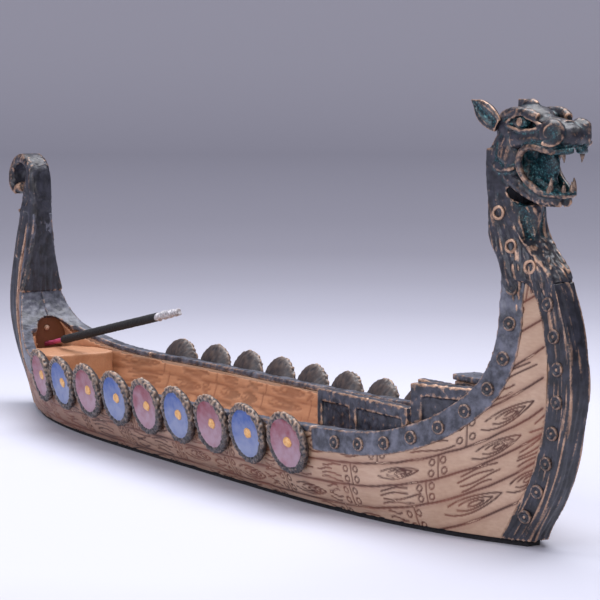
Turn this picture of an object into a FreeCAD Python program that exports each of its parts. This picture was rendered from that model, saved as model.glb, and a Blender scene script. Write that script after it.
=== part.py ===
# Dragon-prow longship incense burner: a resin boat that holds one incense stick.
# Frame: X runs from stern to bow, Y to port, Z up. The origin is under the middle
# of the boat, on the surface that it stands on. Lengths are millimetres.
import FreeCAD, Part
import math
import os
import Sketcher
from FreeCAD import Vector, Rotation, Placement

os.makedirs("parts", exist_ok=True)
doc = FreeCAD.newDocument("LongshipBurner")
sheet = doc.addObject("Spreadsheet::Sheet", "Sizes")

SIZES = {
    # overall
    "boat_length": 240.0, "hull_half_beam": 20.6, "gunwale_height": 16.0, "stem_height": 50.0,
    # hull
    "pad_thickness": 1.2, "pad_inset": 0.8, "hull_wall": 2.4, "floor_height": 4.6,
    "stem_half_width": 1.8, "stem_depth": 5.1, "cap_height": 1.3,
    # raised bands and rails
    "band_height": 4.8, "band_proud": 0.6, "rail_proud": 0.35, "band_end_gap": 0.4,
    # ring studs on the bands
    "ring_radius": 1.35, "ring_tube": 0.28, "ring_pitch": 6.6,
    # shields
    "shield_radius": 6.65, "shield_thickness": 2.0, "shield_pitch": "=2 * shield_radius + 1.2",
    "shield_height": "=gunwale_height - 2.15", "shield_first": "=-boat_length * 4 / 15",
    "shield_dish_radius": 4.95, "shield_dish_depth": 0.9, "shield_lean": 10.7, "boss_radius": 1.45,
    # deck furniture at the bow
    "deck_height": "=gunwale_height - 0.8", "deck_start": "=boat_length * 13 / 60",
    "aft_board_top": "=gunwale_height + 8.2", "aft_board_half": 13.5, "aft_board_thickness": 2.5,
    "fore_board_start": "=boat_length * 0.35", "fore_board_end": "=boat_length * 0.4104",
    "fore_board_top": "=gunwale_height + 13", "fore_board_inset": 0.9, "fore_board_thickness": 3.6,
    "panel_depth": 0.9, "panel_frame": 2.4, "plinth_half": 2.4,
    "plinth_end": "=boat_length * 0.3958", "plinth_top": "=gunwale_height + 14",
    "plinth_cap_height": 1.2, "plinth_overhang": 0.3,
    # stern
    "cavity_end": "=-boat_length * 0.4", "niche_end": "=-boat_length * 0.42", "niche_radius": 5.4,
    "niche_spring": "=gunwale_height + 2", "platform_top": "=gunwale_height - 0.1",
    "platform_half": 9.5, "platform_end": "=-boat_length * 0.33125", "platform_corner": 3.5,
    "post_half_width": 3.2, "scroll_radius": 7.2, "scroll_height": "=stem_height + 7.9",
    "scroll_centre": "=-boat_length * 0.46", "stern_stud_radius": 0.75,
    # scroll, as shares of its radius: foot, eye, and how far back and down its gap lies
    "scroll_foot": 0.86, "scroll_eye": 0.34, "scroll_gap_back": 0.2, "scroll_gap_drop": 0.62,
    # dragon neck and head
    "neck_height": "=stem_height + 16", "head_half_width": 6.0,
    "skull_height": "=stem_height + 27.3", "jaw_gap": 5.0, "ear_height": "=stem_height + 33.1",
    "eye_radius": 1.7, "nostril_radius": 1.9,
    # incense stick
    "stick_slope": 11.9, "core_radius": 0.6, "coat_radius": 1.05, "bore_clearance": 0.08,
    "bore_depth": 5.0, "bare_length": 10.4, "coat_length": 51.5, "ash_length": 10.6,
    "stick_height": "=gunwale_height + 0.2",
}
for row, (alias, value) in enumerate(SIZES.items(), start=1):
    sheet.set("A%d" % row, alias)
    sheet.set("B%d" % row, str(value))
    sheet.setAlias("B%d" % row, alias)
doc.recompute()


def size(alias):
    """Read one driving dimension from the sheet."""
    return float(getattr(sheet, alias))


HALF = size("boat_length") / 2.0
SIDES = {"starboard": -1, "port": 1}
SHIELD_COUNT = 9

# Waterlines of the hull: height as a share of the stem height; bow reach and stern reach as
# shares of half the length; beam as a share of the rail beam; end fairness at bow and stern.
WATERLINES = [
    (0.024, 0.895, 0.862, 0.720, 1.00, 1.00),
    (0.120, 0.922, 0.892, 0.885, 1.20, 1.20),
    (0.280, 0.960, 0.945, 0.985, 1.50, 1.50),
    (0.440, 0.981, 0.976, 1.000, 1.70, 1.75),
    (0.600, 0.993, 0.976, 1.000, 1.80, 1.95),
    (0.800, 0.984, 0.953, 1.000, 1.80, 2.50),
    (1.000, 0.950, 0.920, 1.000, 1.80, 3.20),
    (1.120, 0.912, 0.905, 1.000, 1.80, 3.40),
]
WATERLINE_POWER = 4.2
BOW_SHARE = 0.88

# Sheer line in side view: length as a share of half the length, height above the gunwale
# as a share of the rise from gunwale to stem head.
SHEER = [
    (-0.854, 1.150), (-0.852, 0.941), (-0.854, 0.785), (-0.862, 0.629), (-0.864, 0.438),
    (-0.848, 0.303), (-0.820, 0.190), (-0.784, 0.125), (-0.745, 0.080), (-0.690, 0.036),
    (-0.610, 0.008), (-0.500, 0.000), (-0.167, 0.000), (0.083, 0.010), (0.333, 0.035),
    (0.513, 0.056), (0.592, 0.066), (0.637, 0.085), (0.679, 0.118), (0.714, 0.158),
    (0.757, 0.225), (0.791, 0.305), (0.820, 0.390), (0.840, 0.485), (0.854, 0.606),
    (0.859, 0.721), (0.858, 0.865), (0.856, 0.971), (0.854, 1.150),
]


def tuned(name, kind):
    """Add a document object of a kind and return it."""
    return doc.addObject(kind, name)


def bind(target, **fields):
    """Tie properties of an object to expressions on the sheet."""
    for field, expression in fields.items():
        target.setExpression(field.replace("__", "."), expression)
    return target


def helper_shape(name, shape):
    """Hold a construction shape that is worked out in code."""
    feature = tuned(name, "Part::Feature")
    feature.Shape = shape
    return feature


def named(feature, label):
    """Give a sub-part the label that names its file."""
    feature.Label = label
    SUB_PARTS.append(feature)
    return feature


SUB_PARTS = []


# ---------------------------------------------------------------- hull form
def waterline_height(row):
    """Height of a waterline; the lowest lies on the pad."""
    return max(size("stem_height") * row[0], size("pad_thickness"))


def half_breadth(row, x, outset=0.0):
    """Half-breadth of one waterline at station x."""
    reach = row[1] * HALF if x > 0 else row[2] * HALF
    share = min(abs(x) / reach, 1.0)
    fair = (1.0 - share ** WATERLINE_POWER) ** (row[4] if x > 0 else row[5])
    tip = size("stem_half_width")
    return tip + (size("hull_half_beam") * row[3] - tip) * fair + outset


def interpolated(z):
    """Waterline row at any height, between the two rows that bracket it."""
    share = z / size("stem_height")
    rows = WATERLINES
    if share <= rows[0][0]:
        return rows[0]
    for low, high in zip(rows, rows[1:]):
        if share <= high[0]:
            blend = (share - low[0]) / (high[0] - low[0])
            return tuple(a + (b - a) * blend for a, b in zip(low, high))
    return rows[-1]


def side_breadth(x, z):
    """Half-breadth of the hull at a station and height."""
    return half_breadth(interpolated(z), x)


def side_normal(x, z, side):
    """Outward unit normal of the hull side."""
    step = 0.5
    slope_x = (side_breadth(x + step, z) - side_breadth(x - step, z)) / (2 * step)
    slope_z = (side_breadth(x, z + step) - side_breadth(x, z - step)) / (2 * step)
    normal = Vector(-slope_x, side, -slope_z)
    normal.normalize()
    return normal


def waterline_wire(row, z, outset, first, last):
    """Closed waterline between two stations, one curve a side with flat ends."""
    count = 25
    shares = [math.sin(math.pi * (i / (count - 1.0) - 0.5)) for i in range(count)]
    middle, spread = (first + last) / 2.0, (last - first) / 2.0
    stations = [middle + spread * share for share in shares]
    edges = []
    curves = {}
    for side in (-1, 1):
        points = [Vector(x, side * half_breadth(row, x, outset), z) for x in stations]
        curve = Part.BSplineCurve()
        curve.interpolate(points)
        curves[side] = (curve, points)
    starboard, port = curves[-1], curves[1]
    edges.append(starboard[0].toShape())
    edges.append(Part.makeLine(starboard[1][-1], port[1][-1]))
    port_reversed = port[0].copy()
    port_reversed.reverse()
    edges.append(port_reversed.toShape())
    edges.append(Part.makeLine(port[1][0], starboard[1][0]))
    return Part.Wire(edges)


def hull_form(outset=0.0, overrun=0.0, reach=1.0):
    """Solid between the hull's waterlines, moved outwards by outset, over a share of their reach."""
    wires = []
    for row in WATERLINES:
        first, last = -row[2] * HALF * reach - overrun, row[1] * HALF * reach + overrun
        wires.append(waterline_wire(row, waterline_height(row), outset, first, last))
    return Part.makeLoft(wires, True, False)


def cavity_form():
    """Solid of the hollow inside the hull, before the deck fills the bow."""
    wires = []
    top = size("stem_height") * WATERLINES[-1][0] + 1.0
    floor_z = size("floor_height")
    heights = [floor_z] + [waterline_height(row) for row in WATERLINES[2:-1]] + [top]
    for z in heights:
        row = interpolated(z)
        last = row[1] * HALF * BOW_SHARE
        wires.append(waterline_wire(row, z, -size("hull_wall"), size("cavity_end"), last))
    return Part.makeLoft(wires, True, False)


def sheer_points(drop=0.0):
    """Points of the sheer line, moved square to it by drop."""
    low, rise = size("gunwale_height"), size("stem_height") - size("gunwale_height")
    points = [Vector(share * HALF, 0, low + up * rise) for share, up in SHEER]
    if not drop:
        return points
    curve = Part.BSplineCurve()
    curve.interpolate(points)
    moved = []
    for point in points:
        tangent = curve.tangent(curve.parameter(point))[0]
        moved.append(point + Vector(tangent.z, 0, -tangent.x) * drop)
    return moved


def side_curve(points):
    curve = Part.BSplineCurve()
    curve.interpolate(points)
    return curve.toShape()


def slab_above(drop, name):
    """Everything above the sheer line, lowered by drop."""
    points = sheer_points(drop)
    ceiling = size("neck_height") + 40.0
    corners = [points[-1], Vector(points[-1].x, 0, ceiling), Vector(points[0].x, 0, ceiling), points[0]]
    outline = Part.Wire([side_curve(points)] + [Part.makeLine(a, b) for a, b in zip(corners, corners[1:])])
    reach = size("hull_half_beam") * 2
    face = Part.Face(outline)
    face.translate(Vector(0, -reach, 0))
    return helper_shape(name, face.extrude(Vector(0, 2 * reach, 0)))


def side_region(name, points, reach_x):
    """Prism across the boat between a side-view curve and a far station."""
    far = [Vector(reach_x, 0, points[-1].z), Vector(reach_x, 0, points[0].z)]
    corners = [points[-1]] + far + [points[0]]
    outline = Part.Wire([side_curve(points)] + [Part.makeLine(a, b) for a, b in zip(corners, corners[1:])])
    reach = size("hull_half_beam") * 2
    face = Part.Face(outline)
    face.translate(Vector(0, -reach, 0))
    return helper_shape(name, face.extrude(Vector(0, 2 * reach, 0)))


def station_box(name, first, last, low="0", high="Sizes.ear_height", side=None):
    """Box between two stations, across the boat or on one side of it."""
    box = tuned(name, "Part::Box")
    bind(box, Length="(%s) - (%s)" % (last, first), Height="(%s) - (%s)" % (high, low))
    bind(box, Width="Sizes.hull_half_beam * %s" % ("4" if side is None else "2"))
    bind(box, Placement__Base__x=first, Placement__Base__z=low)
    if side == "port":
        bind(box, Placement__Base__y="0")
    else:
        bind(box, Placement__Base__y="-2 * Sizes.hull_half_beam")
    return box


def cut(name, base, *tools):
    """Base with tools taken away, one after another."""
    for number, tool in enumerate(tools, start=1):
        last = number == len(tools)
        feature = tuned(name if last else "%sStep%d" % (name, number), "Part::Cut")
        feature.Base = base
        feature.Tool = tool
        base = feature
    return base


def common(name, *shapes):
    """What the shapes share."""
    feature = tuned(name, "Part::MultiCommon")
    feature.Shapes = list(shapes)
    return feature


def fuse(name, *shapes):
    """The shapes joined into one."""
    feature = tuned(name, "Part::MultiFuse")
    feature.Shapes = list(shapes)
    return feature


def placed_box(name, fields):
    """Box whose sizes and corner come from expressions."""
    box = tuned(name, "Part::Box")
    bind(box, **fields)
    return box


# ---------------------------------------------------------------- moulds shared by the hull
mould = helper_shape("hull_mould", hull_form())
band_mould = helper_shape("band_mould", hull_form(size("band_proud"), size("band_proud")))
rail_mould = helper_shape("rail_mould", hull_form(size("rail_proud")))
cavity = helper_shape("cavity_mould", cavity_form())
above_sheer = slab_above(0.0, "above_sheer")
above_cap = slab_above(size("cap_height"), "above_cap")
above_band = slab_above(size("band_height"), "above_band")
STEM_LINE = [Vector(row[1] * HALF - size("stem_depth"), 0, waterline_height(row)) for row in WATERLINES]
STERN_LINE = [Vector(-row[2] * HALF + size("stem_depth"), 0, waterline_height(row)) for row in WATERLINES]
stem_region = side_region("stem_region", STEM_LINE, HALF * 1.2)
stern_region = side_region("stern_region", STERN_LINE, -HALF * 1.2)


def make_base_pad():
    """Felt pad glued under the hull."""
    row = WATERLINES[0]
    inset = -size("pad_inset")
    wire = waterline_wire(row, 0.0, inset, -row[2] * HALF - inset, row[1] * HALF + inset)
    pad = Part.Face(wire).extrude(Vector(0, 0, size("pad_thickness")))
    return named(helper_shape("BasePad", pad), "base_pad")


def make_hull():
    """Planked hull: the mould less the hollow, the stem, the stern post and the rails."""
    niche_round = tuned("NicheRound", "Part::Cylinder")
    bind(niche_round, Radius="Sizes.niche_radius", Height="Sizes.cavity_end - Sizes.niche_end + 1")
    niche_round.Placement = Placement(Vector(0, 0, 0), Rotation(Vector(0, 1, 0), 90))
    bind(niche_round, Placement__Base__x="Sizes.niche_end", Placement__Base__z="Sizes.niche_spring")
    niche_low = placed_box("NicheLow", {
        "Length": "Sizes.cavity_end - Sizes.niche_end + 1", "Width": "2 * Sizes.niche_radius",
        "Height": "Sizes.niche_spring - Sizes.platform_top", "Placement.Base.x": "Sizes.niche_end",
        "Placement.Base.y": "-Sizes.niche_radius", "Placement.Base.z": "Sizes.platform_top"})
    niche = fuse("Niche", niche_round, niche_low)
    bore = tuned("StickBore", "Part::Cylinder")
    bind(bore, Radius="Sizes.core_radius + Sizes.bore_clearance", Height="2 * Sizes.bore_depth")
    bore.Placement = stick_placement(-size("bore_depth"))
    above_stem = station_box("AboveStem", "-Sizes.boat_length", "Sizes.boat_length", "Sizes.stem_height")
    shell = cut("HullShell", mould, cavity, above_cap, above_stem, stem_region, stern_region, niche, bore)
    return named(shell, "hull_shell")


def stick_direction():
    """Unit vector up along the incense stick."""
    slope = math.radians(size("stick_slope"))
    return Vector(math.cos(slope), 0, math.sin(slope))


def stick_placement(along):
    """Placement on the stick's axis, a distance along it from the mouth of its bore."""
    mouth = Vector(size("niche_end"), 0, size("stick_height"))
    return Placement(mouth + stick_direction() * along, Rotation(Vector(0, 0, 1), stick_direction()))


def make_stem_and_stern():
    """Bronzed stem post at the bow, and the stern post with its scroll."""
    above_stem = doc.getObject("AboveStem")
    named(cut("StemPost", common("StemStrip", band_mould, stem_region), above_stem), "stem_post")

    post_top = tuned("PostTop", "Part::Box")
    bind(post_top, Length="Sizes.scroll_radius * Sizes.scroll_foot", Width="2 * Sizes.post_half_width")
    bind(post_top, Height="Sizes.scroll_height - Sizes.stem_height")
    bind(post_top, Placement__Base__x="Sizes.scroll_centre", Placement__Base__y="-Sizes.post_half_width")
    bind(post_top, Placement__Base__z="Sizes.stem_height")
    strip = cut("SternStrip", common("SternSlice", band_mould, stern_region), above_stem)
    disc, eye, gap = (tuned(name, "Part::Cylinder") for name in ("ScrollDisc", "ScrollEye", "ScrollGap"))
    for cylinder, radius in ((disc, "1"), (eye, "Sizes.scroll_eye"), (gap, "Sizes.scroll_eye")):
        bind(cylinder, Radius="Sizes.scroll_radius * " + radius, Height="2 * Sizes.post_half_width")
        cylinder.Placement = Placement(Vector(0, 0, 0), Rotation(Vector(1, 0, 0), -90))
        bind(cylinder, Placement__Base__y="-Sizes.post_half_width", Placement__Base__x="Sizes.scroll_centre")
        bind(cylinder, Placement__Base__z="Sizes.scroll_height")
    bind(gap, Placement__Base__x="Sizes.scroll_centre - Sizes.scroll_radius * Sizes.scroll_gap_back")
    bind(gap, Placement__Base__z="Sizes.scroll_height - Sizes.scroll_radius * Sizes.scroll_gap_drop")
    named(cut("SternScroll", disc, eye, gap), "stern_scroll")
    post = fuse("SternPostWhole", strip, post_top)
    named(cut("SternPost", post, disc), "stern_post")


def make_rails():
    """Rails along the gunwales, and the raised bands that sweep up to the stem and the stern."""
    past_shield = "Sizes.shield_radius + Sizes.band_end_gap"
    bow_from = "(Sizes.shield_first + Sizes.shield_pitch * %d + %s)" % (SHIELD_COUNT - 1, past_shield)
    stern_to = "(Sizes.shield_first - %s)" % past_shield.replace("+", "-")
    reach = "Sizes.boat_length"
    for side in SIDES:
        tag = side.capitalize()
        bow_zone = station_box("BowZone" + tag, bow_from, reach, "0", "Sizes.stem_height", side)
        mid_zone = station_box("MidZone" + tag, stern_to, bow_from, "0", "Sizes.stem_height", side)
        stern_zone = station_box("SternZone" + tag, "-" + reach, stern_to, "0", "Sizes.stem_height", side)
        for name, zone, skin, label in (("BowBand", bow_zone, band_mould, "bow_band_"),
                                        ("SternBand", stern_zone, band_mould, "stern_band_")):
            cap = cut(name + "Cap" + tag, common(name + "CapSlab" + tag, skin, above_cap, zone), cavity)
            face = cut(name + "Face" + tag, common(name + "FaceSlab" + tag, skin, above_band, zone), mould)
            whole = fuse(name + "Whole" + tag, cap, face)
            ends = [above_sheer, stem_region, stern_region, doc.getObject("Niche")]
            named(cut(name + tag, whole, *ends), label + side)
        rail = cut("RailBar" + tag, common("RailSlab" + tag, rail_mould, above_cap, mid_zone), cavity)
        named(cut("Rail" + tag, rail, above_sheer), "gunwale_rail_" + side)


def make_deck():
    """Foredeck with framed washboards along both sides, and a plinth in the middle."""
    deck_zone = station_box("DeckZone", "Sizes.deck_start", "Sizes.boat_length", "0", "Sizes.deck_height")
    named(common("Foredeck", cavity, deck_zone), "foredeck")
    inset = size("fore_board_inset")
    outer = helper_shape("BoardOuter", hull_form(-inset, reach=BOW_SHARE))
    panel_face = helper_shape("BoardPanel", hull_form(-inset - size("panel_depth"), reach=BOW_SHARE))
    inner = helper_shape("BoardInner", hull_form(-inset - size("fore_board_thickness"), reach=BOW_SHARE))
    hull = doc.getObject("HullShell")
    split = "Sizes.deck_start + (Sizes.fore_board_start - Sizes.deck_start) * 0.37"
    aft_panels = [("Sizes.deck_start + Sizes.panel_frame * 0.7", split),
                  (split + " + Sizes.panel_frame", "Sizes.fore_board_start - Sizes.panel_frame * 0.7")]
    for side, sign in SIDES.items():
        tag = side.capitalize()
        band = doc.getObject("BowBand" + tag)
        inside_edge = "Sizes.aft_board_thickness - Sizes.aft_board_half"
        face = "-Sizes.aft_board_half" if sign < 0 else "-(%s)" % inside_edge
        plank = placed_box("AftBoardPlank" + tag, {
            "Length": "Sizes.fore_board_start - Sizes.deck_start", "Width": "Sizes.aft_board_thickness",
            "Height": "Sizes.aft_board_top - Sizes.deck_height", "Placement.Base.x": "Sizes.deck_start",
            "Placement.Base.y": face, "Placement.Base.z": "Sizes.deck_height"})
        recess_face = face if sign < 0 else "Sizes.aft_board_half - Sizes.panel_depth"
        recesses = [placed_box("AftPanel%d%s" % (number, tag), {
            "Length": "(%s) - (%s)" % (end, start), "Width": "Sizes.panel_depth",
            "Height": "Sizes.aft_board_top - Sizes.deck_height - Sizes.panel_frame",
            "Placement.Base.x": start, "Placement.Base.y": recess_face,
            "Placement.Base.z": "Sizes.deck_height"}) for number, (start, end) in enumerate(aft_panels)]
        board = common("AftBoardTrim" + tag, plank, mould)
        named(cut("AftBoard" + tag, board, hull, band, *recesses), "washboard_aft_" + side)

        zone = station_box("ForeBoardZone" + tag, "Sizes.fore_board_start", "Sizes.fore_board_end",
                           "Sizes.deck_height", "Sizes.fore_board_top", side)
        window = station_box("ForePanelZone" + tag, "Sizes.fore_board_start + Sizes.panel_frame",
                             "Sizes.fore_board_end - Sizes.panel_frame", "Sizes.deck_height",
                             "Sizes.fore_board_top - Sizes.panel_frame", side)
        recess = cut("ForePanel" + tag, window, panel_face)
        curved = common("ForeBoardTrim" + tag, outer, zone)
        named(cut("ForeBoard" + tag, curved, inner, hull, band, recess), "washboard_fore_" + side)

    plinth = {"Length": "Sizes.plinth_end - Sizes.fore_board_start", "Width": "2 * Sizes.plinth_half",
              "Height": "Sizes.plinth_top - Sizes.plinth_cap_height - Sizes.deck_height",
              "Placement.Base.x": "Sizes.fore_board_start", "Placement.Base.y": "-Sizes.plinth_half",
              "Placement.Base.z": "Sizes.deck_height"}
    named(placed_box("BowPlinth", plinth), "bow_plinth")
    cap = {"Length": "Sizes.plinth_end - Sizes.fore_board_start + 2 * Sizes.plinth_overhang",
           "Width": "2 * Sizes.plinth_half + 2 * Sizes.plinth_overhang",
           "Height": "Sizes.plinth_cap_height",
           "Placement.Base.x": "Sizes.fore_board_start - Sizes.plinth_overhang",
           "Placement.Base.y": "-Sizes.plinth_half - Sizes.plinth_overhang",
           "Placement.Base.z": "Sizes.plinth_top - Sizes.plinth_cap_height"}
    named(placed_box("BowPlinthCap", cap), "bow_plinth_cap")


def origin_plane(body, role):
    """One of a body's own origin planes."""
    return next(plane for plane in body.Origin.OriginFeatures if plane.Role == role)


def make_stern_platform():
    """Raised wooden step at the stern, with rounded front corners, and the stud above it."""
    body = tuned("SternPlatform", "PartDesign::Body")
    sketch = body.newObject("Sketcher::SketchObject", "PlatformPlan")
    sketch.AttachmentSupport = [(origin_plane(body, "XY_Plane"), "")]
    sketch.MapMode = "FlatFace"
    back, front, half = size("cavity_end"), size("platform_end"), size("platform_half")
    corners = [Vector(back, -half, 0), Vector(front, -half, 0), Vector(front, half, 0), Vector(back, half, 0)]
    for start, end in zip(corners, corners[1:] + corners[:1]):
        sketch.addGeometry(Part.LineSegment(start, end))
    sketcher_constraints(sketch, "Sizes.platform_end - Sizes.cavity_end", "2 * Sizes.platform_half",
                         "-Sizes.cavity_end", "Sizes.platform_half")
    pad = body.newObject("PartDesign::Pad", "PlatformPad")
    pad.Profile = sketch
    pad.setExpression("Length", "Sizes.platform_top - Sizes.floor_height")
    doc.recompute()
    upright = [("Edge%d" % (i + 1)) for i, edge in enumerate(pad.Shape.Edges)
               if abs(edge.BoundBox.ZLength - pad.Length.Value) < 1e-6 and edge.BoundBox.XMin > front - 1e-6]
    fillet = body.newObject("PartDesign::Fillet", "PlatformCorners")
    fillet.Base = (pad, upright)
    fillet.setExpression("Radius", "Sizes.platform_corner")
    body.Tip = fillet
    body.setExpression("Placement.Base.z", "Sizes.floor_height")
    doc.recompute()
    named(common("PlatformInHull", body, cavity), "stern_platform")

    stud = tuned("SternStudBall", "Part::Sphere")
    bind(stud, Radius="Sizes.stern_stud_radius", Placement__Base__x="Sizes.niche_end")
    bind(stud, Placement__Base__z="Sizes.niche_spring + Sizes.niche_radius * 0.45")
    named(cut("SternStud", stud, doc.getObject("HullShell")), "stern_stud")


def sketcher_constraints(sketch, length, width, back, half):
    """Close a rectangle of four lines and tie its sizes and place to the sheet."""
    for i in range(4):
        sketch.addConstraint(Sketcher.Constraint("Coincident", i, 2, (i + 1) % 4, 1))
    for line, kind in ((0, "Horizontal"), (1, "Vertical"), (2, "Horizontal"), (3, "Vertical")):
        sketch.addConstraint(Sketcher.Constraint(kind, line))
    start = sketch.Geometry[0].StartPoint
    corner = sketch.Geometry[1]
    sizes = (("DistanceX", 0, 1, 0, 2, sketch.Geometry[0].length(), length),
             ("DistanceY", 1, 1, 1, 2, corner.length(), width),
             ("DistanceX", 0, 1, -1, 1, -start.x, back),
             ("DistanceY", 0, 1, -1, 1, -start.y, half))
    for kind, first, first_end, second, second_end, value, expression in sizes:
        index = sketch.addConstraint(Sketcher.Constraint(kind, first, first_end, second, second_end, value))
        sketch.setExpression("Constraints[%d]" % index, expression)


# ---------------------------------------------------------------- shields
def shield_pose(number, side):
    """Centre of a shield's back face on the hull side, and its outward direction."""
    sign = SIDES[side]
    x = size("shield_first") + size("shield_pitch") * (number - 1)
    z = size("shield_height")
    lean = math.radians(size("shield_lean"))
    slope = (side_breadth(x + 1.0, z) - side_breadth(x - 1.0, z)) / 2.0
    outward = Vector(-slope * math.cos(lean), sign * math.cos(lean), -math.sin(lean))
    outward.normalize()
    seat = Vector(x, sign * (side_breadth(x, z) + size("rail_proud") * 0.5), z)
    return seat, outward


def make_shields():
    """Round shields in a row along each side: a dished disc each, with a domed boss."""
    thickness, dish, depth = (size("shield_" + part) for part in ("thickness", "dish_radius", "dish_depth"))
    boss_radius = size("boss_radius")
    bowl_radius = (dish ** 2 + depth ** 2) / (2 * depth)
    dish_rise = bowl_radius - math.sqrt(bowl_radius ** 2 - boss_radius ** 2)
    row_start = "Sizes.shield_first - 2 * Sizes.shield_radius"
    row_end = "Sizes.shield_first + Sizes.shield_pitch * %d + 2 * Sizes.shield_radius" % (SHIELD_COUNT - 1)
    for side in SIDES:
        zone = station_box("ShieldZone" + side, row_start, row_end, "Sizes.floor_height",
                           "Sizes.shield_height + 2 * Sizes.shield_radius", side)
        wall = common("ShieldWall" + side, rail_mould, zone)
        bosses = []
        for number in range(1, SHIELD_COUNT + 1):
            name = "Shield%s%d" % (side.capitalize(), number)
            seat, outward = shield_pose(number, side)
            turn = Rotation(Vector(0, 0, 1), outward)
            disc = tuned(name + "Disc", "Part::Cylinder")
            bind(disc, Radius="Sizes.shield_radius", Height="Sizes.shield_thickness + Sizes.hull_wall / 2")
            disc.Placement = Placement(seat - outward * (size("hull_wall") / 2), turn)
            bowl = tuned(name + "Bowl", "Part::Sphere")
            bowl.Radius = bowl_radius
            bowl.Placement = Placement(seat + outward * (thickness - depth + bowl_radius), turn)
            named(cut(name, disc, bowl, wall), "shield_%s_%d" % (side, number))
            boss = Part.makeSphere(boss_radius, Vector(0, 0, 0), Vector(0, 0, 1), 0, 90, 360)
            boss.Placement = Placement(seat + outward * (thickness - depth + dish_rise), turn)
            bosses.append(boss)
        named(helper_shape("Bosses" + side, Part.makeCompound(bosses)), "shield_bosses_" + side)


# ---------------------------------------------------------------- dragon neck and head
def section(points):
    """Closed smooth wire through points."""
    curve = Part.BSplineCurve()
    curve.interpolate(Points=points, PeriodicFlag=True)
    return Part.Wire([curve.toShape()])


def oval(x, z, half_width, half_height):
    """Oval cross-section of the head, square to the boat's length."""
    steps = 8
    angles = [2 * math.pi * i / steps for i in range(steps)]
    return section([Vector(x, half_width * math.cos(a), z + half_height * math.sin(a)) for a in angles])


def neck_section(z, back, front, back_half, front_half):
    """Cross-section of the neck, wide at the back and narrow at the front."""
    depth = front - back
    side = [(0.0, 0.55 * back_half), (0.12, back_half), (0.5, (back_half + front_half) * 0.56),
            (0.9, front_half), (1.0, front_half * 0.5)]
    port = [Vector(back + depth * share, half, z) for share, half in side]
    starboard = [Vector(point.x, -point.y, z) for point in reversed(port)]
    return section(port + starboard)


def make_neck():
    """Neck that rises from the stem head to the dragon's skull."""
    stem_head = size("stem_height")
    rise = size("neck_height") - stem_head
    base = HALF * WATERLINES[6][1]
    levels = [(0.00, -12.0, 0.6, 5.2, 2.6), (0.34, -14.2, -3.0, 5.0, 2.7), (0.66, -16.2, -6.0, 4.8, 3.0),
              (1.00, -17.8, -7.6, 4.7, 3.4), (1.50, -17.8, -9.5, 4.8, 4.0)]
    wires = [neck_section(stem_head + rise * up, base + back, base + front, back_half, front_half)
             for up, back, front, back_half, front_half in levels]
    neck = helper_shape("NeckLoft", Part.makeLoft(wires, True, False))
    named(cut("DragonNeck", neck, doc.getObject("SkullLoft"), doc.getObject("JawLoft")), "dragon_neck")


def head_base():
    """Point under the back of the skull that the head's pieces are placed from."""
    return Vector(HALF * WATERLINES[6][1] - 18.0, 0, size("skull_height"))


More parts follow.
